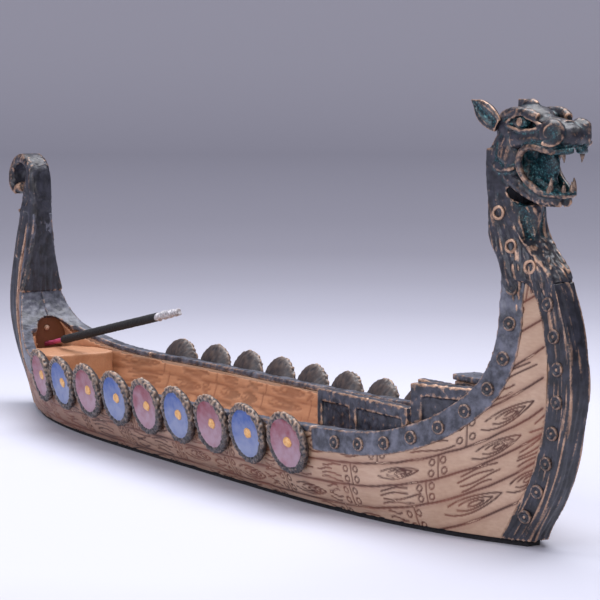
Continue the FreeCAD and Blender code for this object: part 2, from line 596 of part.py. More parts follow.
def make_head():
    """Skull and snout, hanging lower jaw, ears, brows, eyes, nostril scrolls and teeth."""
    base = head_base()
    wide = size("head_half_width")
    skull = [(0.0, -1.8, 0.50, 3.2), (2.5, -1.1, 0.83, 5.2), (7.0, 0.3, 1.0, 5.2), (11.5, 0.3, 0.88, 4.2),
             (16.0, -0.1, 0.72, 3.4), (20.0, -0.3, 0.70, 3.2), (22.4, -0.7, 0.50, 2.2)]
    skull_wires = [oval(base.x + x, base.z + z, wide * share, high) for x, z, share, high in skull]
    skull_form = helper_shape("SkullLoft", Part.makeLoft(skull_wires, True, False))
    named(skull_form, "dragon_skull")

    jaw_top = base.z - 3.6 - size("jaw_gap")
    jaw = [(5.5, -2.3, 0.60, 2.7), (9.0, -2.4, 0.75, 2.6), (14.0, -2.6, 0.66, 2.2), (17.4, -3.0, 0.55, 1.8),
           (19.4, -2.8, 0.37, 1.2)]
    jaw_wires = [oval(base.x + x, jaw_top + z, wide * share, high) for x, z, share, high in jaw]
    jaw_form = helper_shape("JawLoft", Part.makeLoft(jaw_wires, True, False))
    named(jaw_form, "lower_jaw")
    make_neck()

    for side, sign in SIDES.items():
        tag = side.capitalize()
        ear_root = base + Vector(4.5, sign * wide * 0.62, 3.2)
        ear_tip = Vector(base.x - 3.2, sign * wide, size("ear_height"))
        ear = tuned("EarCone" + tag, "Part::Cone")
        bind(ear, Radius1="Sizes.head_half_width * 0.38", Radius2="Sizes.head_half_width * 0.06")
        ear.Height = (ear_tip - ear_root).Length
        ear.Placement = Placement(ear_root, Rotation(Vector(0, 0, 1), ear_tip - ear_root))
        named(cut("Ear" + tag, ear, skull_form), "ear_" + side)

        eye = tuned("EyeBall" + tag, "Part::Sphere")
        bind(eye, Radius="Sizes.eye_radius")
        eye.Placement.Base = base + Vector(11.0, sign * wide * 0.72, 1.7)
        named(cut("Eye" + tag, eye, skull_form), "eye_" + side)

        brow = tuned("BrowForm" + tag, "Part::Ellipsoid")
        bind(brow, Radius1="Sizes.eye_radius * 0.75", Radius2="Sizes.eye_radius * 1.9",
             Radius3="Sizes.eye_radius * 0.8")
        brow.Placement.Base = base + Vector(9.6, sign * wide * 0.70, 4.0)
        named(cut("Brow" + tag, brow, skull_form, doc.getObject("Eye" + tag)), "brow_" + side)

        curl = tuned("NostrilRing" + tag, "Part::Torus")
        bind(curl, Radius1="Sizes.nostril_radius * 0.68", Radius2="Sizes.nostril_radius * 0.36")
        curl.Placement = Placement(base + Vector(19.4, sign * wide * 0.62, 1.4), Rotation(Vector(1, 0, 0), 90))
        named(cut("Nostril" + tag, curl, skull_form), "nostril_" + side)

    def teeth(name, label, places, root_z, tip_length, gum):
        cones = []
        for x, y in places:
            radius = 0.55 if tip_length > 0 else 0.6
            root = base + Vector(x, y * wide, root_z - base.z)
            cones.append(Part.makeCone(radius, 0.12, abs(tip_length), root, Vector(0, 0, tip_length)))
        group = Part.makeCompound(cones)
        named(cut(name, helper_shape(name + "Cones", group), gum), label)

    fang_places = [(18.8, side * 0.42) for side in (-1, 1)]
    teeth("UpperFangs", "upper_fangs", fang_places, base.z - 2.2, -3.4, skull_form)
    front_places = [(17.0, side * 0.34) for side in (-1, 1)] + [(18.6, side * 0.12) for side in (-1, 1)]
    teeth("LowerTeeth", "lower_teeth", front_places, jaw_top - 2.8, 3.2, jaw_form)


# ---------------------------------------------------------------- ring studs
RING_SEAT_DEPTH = 0.5


def ring_stud(seat, outward):
    """One raised ring with a dome in its middle, on a thin disc."""
    radius, tube = size("ring_radius"), size("ring_tube")
    disc = Part.makeCylinder(radius, tube + RING_SEAT_DEPTH, Vector(0, 0, -RING_SEAT_DEPTH))
    ring = Part.makeTorus(radius - tube, tube)
    ring.translate(Vector(0, 0, tube))
    dome = Part.makeSphere(radius * 0.36)
    dome.translate(Vector(0, 0, tube * 0.6))
    stud = disc.fuse(ring).fuse(dome)
    stud.Placement = Placement(seat, Rotation(Vector(0, 0, 1), outward))
    return stud


def ring_seats(curve_points, side, keep):
    """Seats of evenly spaced rings along a side-view curve, on the raised band."""
    curve = Part.BSplineCurve()
    curve.interpolate(curve_points)
    edge = curve.toShape()
    count = int(edge.Length / size("ring_pitch")) + 1
    seats = []
    for point in edge.discretize(Distance=edge.Length / count):
        if keep(point):
            lift = size("band_proud")
            breadth = side_breadth(point.x, point.z) + lift
            normal = side_normal(point.x, point.z, SIDES[side])
            seats.append((Vector(point.x, SIDES[side] * breadth, point.z), normal))
    return seats


def make_rings():
    """Ring studs along the bow bands and up the sides of the stem."""
    last_shield = size("shield_first") + size("shield_pitch") * (SHIELD_COUNT - 1)
    start = last_shield + size("shield_radius") + size("ring_radius") * 1.6
    top = size("stem_height") - size("ring_radius")
    low = size("pad_thickness") + 2 * size("ring_radius")
    stem_middle = [point + Vector(size("stem_depth") * 0.5, 0, 0) for point in STEM_LINE]
    for side in SIDES:
        along_band = ring_seats(sheer_points(size("band_height") * 0.52), side,
                                lambda point: point.x > start and point.z < top)
        studs = [ring_stud(*seat).cut(band_mould.Shape) for seat in along_band]
        named(helper_shape("BandRings" + side, Part.makeCompound(studs)), "band_rings_" + side)
        along_stem = ring_seats(stem_middle, side, lambda point: low < point.z < top)
        studs = [ring_stud(*seat).cut(band_mould.Shape) for seat in along_stem]
        named(helper_shape("StemRings" + side, Part.makeCompound(studs)), "stem_rings_" + side)


# ---------------------------------------------------------------- incense stick
def make_stick():
    """Incense stick: bamboo core, charcoal coat on it, and the burnt ash at its tip."""
    start = -size("bore_depth") + 0.4
    coat_start = size("bare_length")
    core = tuned("BambooCore", "Part::Cylinder")
    bind(core, Radius="Sizes.core_radius")
    bind(core, Height="Sizes.bore_depth - 0.4 + Sizes.bare_length + Sizes.coat_length")
    core.Placement = stick_placement(start)
    named(core, "bamboo_core")
    coat = tuned("CharcoalRod", "Part::Cylinder")
    bind(coat, Radius="Sizes.coat_radius", Height="Sizes.coat_length")
    coat.Placement = stick_placement(coat_start)
    named(cut("CharcoalCoat", coat, core), "charcoal_coat")
    ash = tuned("AshTip", "Part::Cone")
    bind(ash, Radius1="Sizes.coat_radius", Radius2="Sizes.coat_radius * 0.8", Height="Sizes.ash_length")
    ash.Placement = stick_placement(coat_start + size("coat_length"))
    named(ash, "ash_tip")


def check_and_write():
    """Stop on any failed object, then write one file for each sub-part."""
    doc.recompute()
    failed = [item.Name for item in doc.Objects if "Invalid" in item.State or "Error" in item.State]
    if failed:
        raise RuntimeError("failed objects: %s" % ", ".join(failed))
    for feature in SUB_PARTS:
        shape = feature.Shape
        if shape.isNull() or not shape.isValid() or not shape.Solids:
            raise RuntimeError("bad shape: " + feature.Label)
    for feature in SUB_PARTS:
        feature.Shape.exportStep("parts/%s.step" % feature.Label)
        print("%-24s %2d solids %9.1f mm3" % (feature.Label, len(feature.Shape.Solids), feature.Shape.Volume))
    print("sub-parts:", len(SUB_PARTS))


make_base_pad()
make_hull()
make_stem_and_stern()
make_rails()
make_deck()
make_stern_platform()
make_shields()
make_head()
make_rings()
make_stick()
check_and_write()
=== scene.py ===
"""Looks of the dragon-prow longship incense burner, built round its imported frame."""
import logging
import math
import random
from collections.abc import Callable, Iterator
from contextlib import contextmanager
from dataclasses import dataclass, field
from enum import Enum
from functools import partial

import bpy
import numpy as np
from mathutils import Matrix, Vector, noise
from mathutils.bvhtree import BVHTree


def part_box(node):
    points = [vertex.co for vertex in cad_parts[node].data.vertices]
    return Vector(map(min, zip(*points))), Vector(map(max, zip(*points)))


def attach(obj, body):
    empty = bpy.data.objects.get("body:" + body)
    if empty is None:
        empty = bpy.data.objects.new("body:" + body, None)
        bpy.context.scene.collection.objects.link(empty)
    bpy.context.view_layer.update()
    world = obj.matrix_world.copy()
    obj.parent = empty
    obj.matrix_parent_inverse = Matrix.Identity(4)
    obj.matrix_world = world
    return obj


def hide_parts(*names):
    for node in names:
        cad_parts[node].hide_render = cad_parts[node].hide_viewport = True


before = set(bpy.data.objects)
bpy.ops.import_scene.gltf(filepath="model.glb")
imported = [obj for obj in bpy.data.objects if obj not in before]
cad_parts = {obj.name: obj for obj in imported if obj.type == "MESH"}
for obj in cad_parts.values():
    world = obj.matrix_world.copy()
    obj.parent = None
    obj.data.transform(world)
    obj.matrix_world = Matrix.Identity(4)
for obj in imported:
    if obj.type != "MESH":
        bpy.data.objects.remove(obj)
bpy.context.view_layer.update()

MM = 0.001
BOAT = "boat"
STICK = "incense_stick"
STEM_TOP = 50.0                      # height of the joint between stem and neck, in mm
SIGHT = 0.05                         # how far a look at the boat's side reaches, in m
WELD = 0.002                         # corners closer than this are one, in mm
MIX_A, MIX_B = 6, 7                  # colour inputs of a Mix node
MAIN_OUTPUT = {"Mix": 2, "Attribute": "Fac", "TexCoord": "Object"}
log = logging.getLogger("longship")


class Side(Enum):
    """The two sides of the boat, with the sign of Y on each."""

    STARBOARD = -1
    PORT = 1

    @property
    def word(self) -> str:
        """The side's name as it stands in the names of pieces."""
        return self.name.lower()


class Stain(Enum):
    """What a shield's dish is painted with."""

    RED = "red"
    BLUE = "blue"


# ------------------------------------------------------------------ small tools
def srgb(code: str) -> tuple[float, float, float, float]:
    """Turn an sRGB hex code into a linear colour.

    Args:
        code: Colour such as "#a07050".

    Returns:
        Linear red, green, blue and alpha.
    """
    channels = [int(code[i:i + 2], 16) / 255 for i in (1, 3, 5)]
    linear = [c / 12.92 if c <= 0.04045 else ((c + 0.055) / 1.055) ** 2.4 for c in channels]
    return (*linear, 1.0)


def feed(tree: bpy.types.NodeTree, node: bpy.types.Node, links: dict) -> None:
    """Link or set inputs of a node, each given by its name or number."""
    for key, value in links.items():
        if isinstance(value, bpy.types.NodeSocket):
            tree.links.new(value, node.inputs[key])
        else:
            node.inputs[key].default_value = value


def add_node(tree: bpy.types.NodeTree, kind: str, links: dict | None = None, stops: tuple = (),
             out: str | None = None, **settings) -> bpy.types.NodeSocket:
    """Add a node with its settings and links.

    Args:
        tree: Node tree that takes the node.
        kind: Type name of the node, after "ShaderNode".
        links: Input name or number, and the socket or value that it takes.
        stops: Position and sRGB hex code of each stop of a colour ramp.
        out: Name of the output that is wanted, or None for the node's main one.
        **settings: Properties of the node.

    Returns:
        The output.
    """
    node = tree.nodes.new("ShaderNode" + kind)
    for key, value in settings.items():
        setattr(node, key, value)
    feed(tree, node, links or {})
    for number, (position, code) in enumerate(stops):
        elements = node.color_ramp.elements
        stop = elements[number] if number < 2 else elements.new(position)
        stop.position, stop.color = position, srgb(code)
    return node.outputs[out or MAIN_OUTPUT.get(kind, 0)]


def new_paint(name: str) -> tuple[bpy.types.Material, Callable, bpy.types.NodeSocket]:
    """Start a material, and return it with what adds its nodes and the place on the piece."""
    material = bpy.data.materials.new(name)
    material.use_nodes = True
    add = partial(add_node, material.node_tree)
    return material, add, add("TexCoord")


def fed(material: bpy.types.Material, links: dict) -> bpy.types.Material:
    """Feed a material's shader, and return the material."""
    feed(material.node_tree, material.node_tree.nodes["Principled BSDF"], links)
    return material


def deselect() -> None:
    """Leave object mode with nothing selected."""
    if bpy.context.object and bpy.context.object.mode != "OBJECT":
        bpy.ops.object.mode_set(mode="OBJECT")
    bpy.ops.object.select_all(action="DESELECT")


def pick(*pieces: bpy.types.Object) -> None:
    """Select these pieces alone, the first one active."""
    deselect()
    for piece in pieces:
        piece.select_set(True)
    bpy.context.view_layer.objects.active = pieces[0]


@contextmanager
def whole_mesh() -> Iterator[None]:
    """Work on the active mesh in edit mode, with all of it selected at first."""
    bpy.ops.object.mode_set(mode="EDIT")
    bpy.ops.mesh.select_all(action="SELECT")
    yield
    bpy.ops.object.mode_set(mode="OBJECT")


def joined(pieces: list[bpy.types.Object], name: str) -> bpy.types.Object:
    """Join pieces into one object with its place in its mesh.

    Args:
        pieces: Mesh objects to join.
        name: Name of the result.

    Returns:
        The joined object.
    """
    pick(*pieces)
    if len(pieces) > 1:
        bpy.ops.object.join()
    piece = bpy.context.view_layer.objects.active
    piece.name = piece.data.name = name
    bpy.ops.object.transform_apply(location=True, rotation=True, scale=True)
    return piece


def apply_modifier(piece: bpy.types.Object, kind: str, **settings) -> None:
    """Add a modifier with its settings and apply it.

    Args:
        piece: Object that takes it.
        kind: Modifier type.
        **settings: Properties of the modifier.
    """
    pick(piece)
    modifier = piece.modifiers.new(kind.title(), kind)
    for key, value in settings.items():
        setattr(modifier, key, value)
    bpy.ops.object.modifier_apply(modifier=modifier.name)


def ball(centre: tuple, radii: tuple, tilt: float = 0.0) -> bpy.types.Object:
    """Add a stretched ball of clay, in millimetres.

    Args:
        centre: Middle of the ball.
        radii: Half-lengths along X, Y and Z.
        tilt: Turn about Y, in degrees.

    Returns:
        The ball.
    """
    deselect()
    bpy.ops.mesh.primitive_uv_sphere_add(segments=24, ring_count=14, radius=MM,
                                         location=[c * MM for c in centre], scale=radii,
                                         rotation=(0, math.radians(tilt), 0))
    return bpy.context.object


def rod(path: list[tuple], radii: list[float]) -> bpy.types.Object:
    """Roll a rod of clay along a smooth path, in millimetres.

    Args:
        path: Points that the rod follows.
        radii: Radius at each point.

    Returns:
        The rod as a mesh.
    """
    deselect()
    curve = bpy.data.curves.new("rod", "CURVE")
    curve.dimensions = "3D"
    curve.bevel_depth = MM
    curve.bevel_resolution = 3
    curve.resolution_u = 6
    curve.use_fill_caps = True
    curve.twist_mode = "Z_UP"
    spline = curve.splines.new("NURBS")
    spline.points.add(len(path) - 1)
    for point, place, radius in zip(spline.points, path, radii):
        point.co = (*[c * MM for c in place], 1.0)
        point.radius = radius
    spline.use_endpoint_u = True
    spline.order_u = min(4, len(path))
    piece = bpy.data.objects.new("rod", curve)
    bpy.context.scene.collection.objects.link(piece)
    pick(piece)
    bpy.ops.object.convert(target="MESH")
    return bpy.context.object


def mirrored(points: list[tuple], side: Side) -> list[tuple]:
    """Put points that are given for the port side on either side."""
    return [(x, y * side.value, z) for x, y, z in points]


def node_copy(*nodes: str) -> bpy.types.Object:
    """Copy CAD nodes into one mesh with their loose triangles merged.

    Args:
        *nodes: Names of the nodes.

    Returns:
        The copy, in the nodes' place.
    """
    copies = []
    for node in nodes:
        copy = bpy.data.objects.new(node + "_copy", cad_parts[node].data.copy())
        bpy.context.scene.collection.objects.link(copy)
        copies.append(copy)
    piece = joined(copies, nodes[0] + "_copy")
    piece.data.materials.clear()
    with whole_mesh():
        bpy.ops.mesh.remove_doubles(threshold=MM * WELD)
    return piece


def put_points(piece: bpy.types.Object, points: np.ndarray) -> None:
    """Move a mesh's vertices to these places, in millimetres."""
    piece.data.vertices.foreach_set("co", (points * MM).astype(np.float32).ravel())
    piece.data.update()


def search_tree(*nodes: str) -> BVHTree:
    """Build a search tree over the faces of some CAD nodes."""
    copy = node_copy(*nodes)
    tree = BVHTree.FromPolygons([v.co for v in copy.data.vertices],
                                [p.vertices for p in copy.data.polygons])
    bpy.data.objects.remove(copy)
    return tree


def look(tree: BVHTree, x: float, z: float, side: Side, inside: bool = False) -> tuple:
    """Look square at one side of the boat, from outside or from its middle plane.

    Args:
        tree: Faces to look at.
        x: Station, in millimetres.
        z: Height, in millimetres.
        side: Side to look at.
        inside: Whether to look outwards from the middle plane.

    Returns:
        The first place met, in metres, and the normal there, or None for both.
    """
    start, way = (0.0, side.value) if inside else (side.value * SIGHT, -side.value)
    return tree.ray_cast(Vector((x * MM, start, z * MM)), Vector((0, way, 0)), SIGHT)[:2]


def off_joint(z: np.ndarray) -> np.ndarray:
    """Return 0 at the joint of stem and neck and 1 away from it, where no bare edge is wanted."""
    return np.clip(np.abs(z - STEM_TOP) / 1.6 - 0.3, 0, 1)


def coarse_noise(points: np.ndarray, grain: tuple, seed: int) -> np.ndarray:
    """Smooth noise at points, from about -1 to 1.

    Args:
        points: Places in millimetres, one a row.
        grain: Size of the grain along X, Y and Z, in millimetres.
        seed: Shift that makes each use its own.

    Returns:
        One value for each point.
    """
    scaled = points / np.array(grain) + seed * 17.3
    return np.array([noise.noise(row) for row in scaled.tolist()]) * 1.6


class Casting:
    """A mesh whose surface is worked in millimetres, as a sculptor works a wax."""

    def __init__(self, piece: bpy.types.Object, voxel: float = 0.0, soften: int = 0) -> None:
        """Take a mesh, and make its faces even where a voxel size is given.

        Args:
            piece: Mesh object with its place in its mesh.
            voxel: Edge of the even faces, in millimetres, or 0 to leave them.
            soften: Rounds of smoothing that follow.
        """
        self.piece = piece
        if voxel:
            apply_modifier(piece, "REMESH", mode="VOXEL", voxel_size=voxel * MM)
        if soften:
            apply_modifier(piece, "SMOOTH", factor=0.5, iterations=soften)
        self.read()

    def read(self) -> None:
        """Read places, normals and edges from the mesh."""
        mesh = self.piece.data
        count = len(mesh.vertices)
        self.points = np.empty(count * 3, np.float32)
        mesh.vertices.foreach_get("co", self.points)
        self.points = self.points.reshape(-1, 3).astype(float) / MM
        self.normals = np.empty(count * 3, np.float32)
        mesh.vertex_normals.foreach_get("vector", self.normals)
        self.normals = self.normals.reshape(-1, 3).astype(float)
        self.edges = np.empty(len(mesh.edges) * 2, np.int32)
        mesh.edges.foreach_get("vertices", self.edges)
        self.edges = self.edges.reshape(-1, 2)

    def press(self, heights: np.ndarray) -> None:
        """Move the surface along its normals and read it again."""
        self.points += self.normals * heights[:, None]
        put_points(self.piece, self.points)
        self.read()

    def distances(self, path: list[tuple]) -> np.ndarray:
        """Distance from each vertex to a path of points."""
        route = np.array(path, float)
        best = np.full(len(self.points), 1e9)
        if len(route) == 1:
            return np.linalg.norm(self.points - route[0], axis=1)
        for start, end in zip(route, route[1:]):
            line = end - start
            share = np.clip((self.points - start) @ line / (line @ line), 0, 1)
            best = np.minimum(best, np.linalg.norm(self.points - start - share[:, None] * line, axis=1))
        return best

    def stroke(self, path: list[tuple], radius: float, height: float) -> np.ndarray:
        """Raise or cut the surface along a path.

        Args:
            path: Points of the path.
            radius: Reach of the tool.
            height: How far it raises the surface, below 0 to cut.

        Returns:
            Strength of the tool at each vertex, from 0 to 1.
        """
        strength = np.clip(1 - self.distances(path) / radius, 0, 1)
        strength = strength * strength * (3 - 2 * strength)
        self.press(strength * height)
        return strength

    def neighbours_mean(self, values: np.ndarray) -> np.ndarray:
        """Average of each vertex's neighbours, for a list of rows."""
        count = len(self.points)
        first, second = self.edges[:, 0], self.edges[:, 1]
        degree = np.bincount(first, minlength=count) + np.bincount(second, minlength=count)
        columns = []
        for column in values.reshape(count, -1).T:
            total = np.bincount(first, column[second], count) + np.bincount(second, column[first], count)
            columns.append(total / np.maximum(degree, 1))
        return np.stack(columns, axis=1)

    def convexity(self, reach: int = 3) -> np.ndarray:
        """How far each spot stands out from its surroundings, below 0 in hollows.

        Args:
            reach: Rounds of averaging that set the size of the surroundings.

        Returns:
            Height over the surroundings in millimetres.
        """
        around = self.points
        for _ in range(reach):
            around = self.neighbours_mean(around)
        height = np.einsum("ij,ij->i", self.points - around, self.normals)
        return self.neighbours_mean(height)[:, 0]

    def paint(self, name: str, values: np.ndarray) -> None:
        """Keep a value from 0 to 1 at each vertex, which a finish reads."""
        layer = self.piece.data.attributes.get(name) or self.piece.data.attributes.new(name, "FLOAT",
                                                                                       "POINT")
        layer.data.foreach_set("value", np.clip(values, 0, 1).astype(np.float32))

    def wear(self, scale: float = 0.06, reach: int = 3) -> None:
        """Mark rubbed edges and filled hollows from the shape itself.

        Args:
            scale: Height over the surroundings at which an edge is bare.
            reach: Size of the surroundings, in rounds of averaging.
        """
        height = self.convexity(reach)
        self.paint("rub", height / scale * off_joint(self.points[:, 2]))
        self.paint("hollow", -height / scale)


def finish_piece(piece: bpy.types.Object, material: bpy.types.Material, replaces: tuple = (),
                 body: str = BOAT) -> bpy.types.Object:
    """Dress a piece, tie it to its body and hide the CAD nodes that it stands for.

    Args:
        piece: Finished mesh object.
        material: Its finish.
        replaces: CAD nodes that it stands for.
        body: Body that it moves with.

    Returns:
        The piece.
    """
    piece.data.materials.clear()
    piece.data.materials.append(material)
    pick(piece)
    bpy.ops.object.shade_smooth()
    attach(piece, body)
    if replaces:
        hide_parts(*replaces)
    log.info("%s: %d faces", piece.name, len(piece.data.polygons))
    return piece


def dress_node(node: str, material: bpy.types.Material) -> None:
    """Give a CAD node that stays a better finish."""
    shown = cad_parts[node]
    shown.data.materials.clear()
    shown.data.materials.append(material)
    log.info("%s: kept, finish %s", node, material.name)


# ------------------------------------------------------------------ finishes
@dataclass(frozen=True)
class PatinatedResin:
    """Cold-cast resin painted blue-black, dry-brushed with copper on what stands out.

    Matt dark paint in two tones, copper where a brush would touch, and on the head a
    blue-green wash that stays in the hollows.
    """

    name: str = "dry_brushed_resin"
    dark: str = "#15161d"
    slate: str = "#33343f"
    copper: str = "#c9a58c"
    verdigris: str = "#1c525b"
    mottling_mm: float = 2.2
    speckle_mm: float = 0.45
    rub_start: float = 0.42
    rub_end: float = 0.95

    def make(self) -> bpy.types.Material:
        """Build the material."""
        material, add, place = new_paint(self.name)
        rub, streak, wash = (add("Attribute", attribute_name=name) for name in ("rub", "streak", "wash"))
        mottling = add("TexNoise", {"Vector": place, "Scale": 1 / (self.mottling_mm * MM), "Detail": 4.0,
                                    "Roughness": 0.6})
        speckle = add("TexNoise", {"Vector": place, "Scale": 1 / (self.speckle_mm * MM), "Detail": 3.0,
                                   "Roughness": 0.7})
        base = add("ValToRGB", {"Fac": mottling}, ((0.38, self.dark), (0.66, self.slate)))
        washed = add("MapRange", {"Value": wash, "From Min": 0.15, "From Max": 0.9})
        green = add("ValToRGB", {"Fac": speckle}, ((0.46, "#071b23"), (0.6, self.verdigris),
                                                   (0.8, "#8fc0b8")))
        greened = add("Mix", {0: washed, MIX_A: base, MIX_B: green}, data_type="RGBA")
        brushed = add("Math", {0: rub, 1: streak}, operation="MAXIMUM")
        grit = add("Math", {0: speckle, 1: 1.1, 2: -0.55}, operation="MULTIPLY_ADD")
        uneven = add("Math", {0: brushed, 1: grit}, operation="ADD")
        bare = add("MapRange", {"Value": uneven, "From Min": self.rub_start, "From Max": self.rub_end})
        copper = add("ValToRGB", {"Fac": mottling}, ((0.32, "#8a6a56"), (0.66, self.copper)))
        colour = add("Mix", {0: bare, MIX_A: greened, MIX_B: copper}, data_type="RGBA")
        shine = add("MapRange", {"Value": bare, "To Min": 0.0, "To Max": 0.45})
        rough = add("MapRange", {"Value": speckle, "To Min": 0.3, "To Max": 0.52})
        bump = add("Bump", {"Height": speckle, "Strength": 0.35, "Distance": 0.12 * MM})
        return fed(material, {"Base Color": colour, "Metallic": shine, "Roughness": rough, "Normal": bump,
                              "Coat Weight": 0.15, "Coat Roughness": 0.25})


@dataclass(frozen=True)
class CarvedWoodPaint:
    """Resin painted as pale planks: a warm tan, with brown stain wiped into the carving."""

    name: str
    pale: str = "#bc9f89"
    warm: str = "#aa8b73"
    stain: str = "#3f1d12"
    red_stain: str = "#6f3826"
    aged: str = "#94715e"
    blotch_mm: float = 14.0
    fibre_mm: float = 0.5
    aft_mm: float = -60.0
    fore_mm: float = 70.0

    def make(self) -> bpy.types.Material:
        """Build the material."""
        material, add, place = new_paint(self.name)
        groove, seam = (add("Attribute", attribute_name=name) for name in ("groove", "halo"))
        along = add("Mapping", {"Vector": place, "Scale": (0.18, 1.0, 1.0)})
        blotch = add("TexNoise", {"Vector": place, "Scale": 1 / (self.blotch_mm * MM), "Detail": 3.0})
        fibre = add("TexNoise", {"Vector": along, "Scale": 1 / (self.fibre_mm * MM), "Detail": 3.0})
        station = add("SeparateXYZ", {"Vector": place}, out="X")
        ageing = add("MapRange", {"Value": station, "From Min": self.fore_mm * MM, "From Max": self.aft_mm
                                  * MM})
        fresh = add("ValToRGB", {"Fac": blotch}, ((0.35, self.pale), (0.7, self.warm)))
        red = srgb(self.red_stain)
        aged = add("Mix", {0: ageing, MIX_A: fresh, MIX_B: srgb(self.aged)}, data_type="RGBA")
        fine = add("MapRange", {"Value": fibre, "From Min": 0.35, "From Max": 0.7, "To Min": 0.0,
                                "To Max": 0.16})
        grained = add("Mix", {0: fine, MIX_A: aged, MIX_B: red}, data_type="RGBA")
        halo = add("Math", {0: seam, 1: 0.4}, operation="MULTIPLY")
        shaded = add("Mix", {0: halo, MIX_A: grained, MIX_B: red}, data_type="RGBA")
        dark = add("ValToRGB", {"Fac": blotch}, ((0.42, self.stain), (0.62, self.red_stain)))
        colour = add("Mix", {0: groove, MIX_A: shaded, MIX_B: dark}, data_type="RGBA")
        bump = add("Bump", {"Height": fibre, "Strength": 0.25, "Distance": 0.08 * MM})
        rough = add("MapRange", {"Value": fibre, "To Min": 0.42, "To Max": 0.62})
        return fed(material, {"Base Color": colour, "Roughness": rough, "Normal": bump})


@dataclass(frozen=True)
class ShieldPaint:
    """A shield's finish: speckled grey-bronze rim whose rubbed copper grows towards the top as a painted
    highlight, and a dish in matt colour with painted shade at its top and painted light lower down.
    """

    stain: Stain
    speckle_mm: float = 0.7
    # how far below the shields' top the painted shade and the painted highlight reach
    dish_top_mm: float = 3.5
    shield_height_mm: float = 14.0

    def make(self) -> bpy.types.Material:
        """Build the material."""
        # painted shade and light: the dark, saturated tint is the dish's shaded top, the greyer tint its lit
        # lower part
        shaded_tint, soft = {Stain.RED: ("#7c2a38", "#a08390"), Stain.BLUE: ("#2a4d92", "#7f88a8")}[self.stain]
        material, add, place = new_paint("shield_paint_" + self.stain.value)
        rub, dish, back = (add("Attribute", attribute_name=name) for name in ("rub", "dish", "hollow"))
        speckle = add("TexNoise", {"Vector": place, "Scale": 1 / (self.speckle_mm * MM), "Detail": 4.0,
                                   "Roughness": 0.75})
        mottling = add("TexNoise", {"Vector": place, "Scale": 1 / (3 * self.speckle_mm * MM),
                                    "Detail": 3.0})
        # height drives painted light: shade at the top of the dish and a highlight on the upper rim
        height = add("SeparateXYZ", {"Vector": place}, out="Z")
        top = self.shield_height_mm * MM
        high = add("MapRange", {"Value": height, "From Min": top - self.dish_top_mm * MM,
                                "From Max": top + 2 * self.dish_top_mm * MM})
        metal = add("ValToRGB", {"Fac": speckle}, ((0.4, "#121318"), (0.54, "#3f3d42"), (0.74, "#9a8272")))
        # painted highlight: the rubbed copper on the rim shows more towards the top
        top_glint = add("MapRange", {"Value": high, "To Min": 0.1, "To Max": 0.9})
        lift = add("Math", {0: rub, 1: top_glint}, operation="MULTIPLY")
        backed = add("Mix", {0: back, MIX_A: metal, MIX_B: srgb("#24242b")}, data_type="RGBA")
        rim = add("Mix", {0: lift, MIX_A: backed, MIX_B: srgb("#c9a88f")}, data_type="RGBA")
        # painted shade: the dish's colour deepens towards its top, lighter lower down
        top_shade_and_mottling = add("Math", {0: high, 1: 0.9, 2: mottling}, operation="MULTIPLY_ADD")
        shade = add("Math", {0: top_shade_and_mottling, 1: 0.65}, operation="MULTIPLY")
        paint = add("ValToRGB", {"Fac": shade}, ((0.32, soft), (0.8, shaded_tint)))
        ragged = add("Math", {0: speckle, 1: 0.7, 2: -0.35}, operation="MULTIPLY_ADD")
        edge = add("Math", {0: dish, 1: ragged}, operation="ADD")
        share = add("MapRange", {"Value": edge, "From Min": 0.4, "From Max": 0.6})
        colour = add("Mix", {0: share, MIX_A: rim, MIX_B: paint}, data_type="RGBA")
        bump = add("Bump", {"Height": speckle, "Strength": 0.4, "Distance": 0.12 * MM})
        return fed(material, {"Base Color": colour, "Normal": bump, "Roughness": 0.42})


@dataclass(frozen=True)
class GrainyCoat:
    """One mottled colour with a fine grit: felt, charcoal, ash, dyed bamboo or boss paint."""

    name: str
    low: str
    high: str
    grain_mm: float
    roughness: float = 0.7
    relief: float = 0.4
    stretch: tuple = (1.0, 1.0, 1.0)

    def make(self) -> bpy.types.Material:
        """Build the material."""
        material, add, place = new_paint(self.name)
        along = add("Mapping", {"Vector": place, "Scale": self.stretch})
        grain = add("TexNoise", {"Vector": along, "Detail": 5.0, "Scale": 1 / (self.grain_mm * MM),
                                 "Roughness": 0.7})
        colour = add("ValToRGB", {"Fac": grain}, ((0.35, self.low), (0.68, self.high)))
        bump = add("Bump", {"Height": grain, "Strength": self.relief, "Distance": self.grain_mm * 0.3 * MM})
        return fed(material, {"Base Color": colour, "Normal": bump, "Roughness": self.roughness})


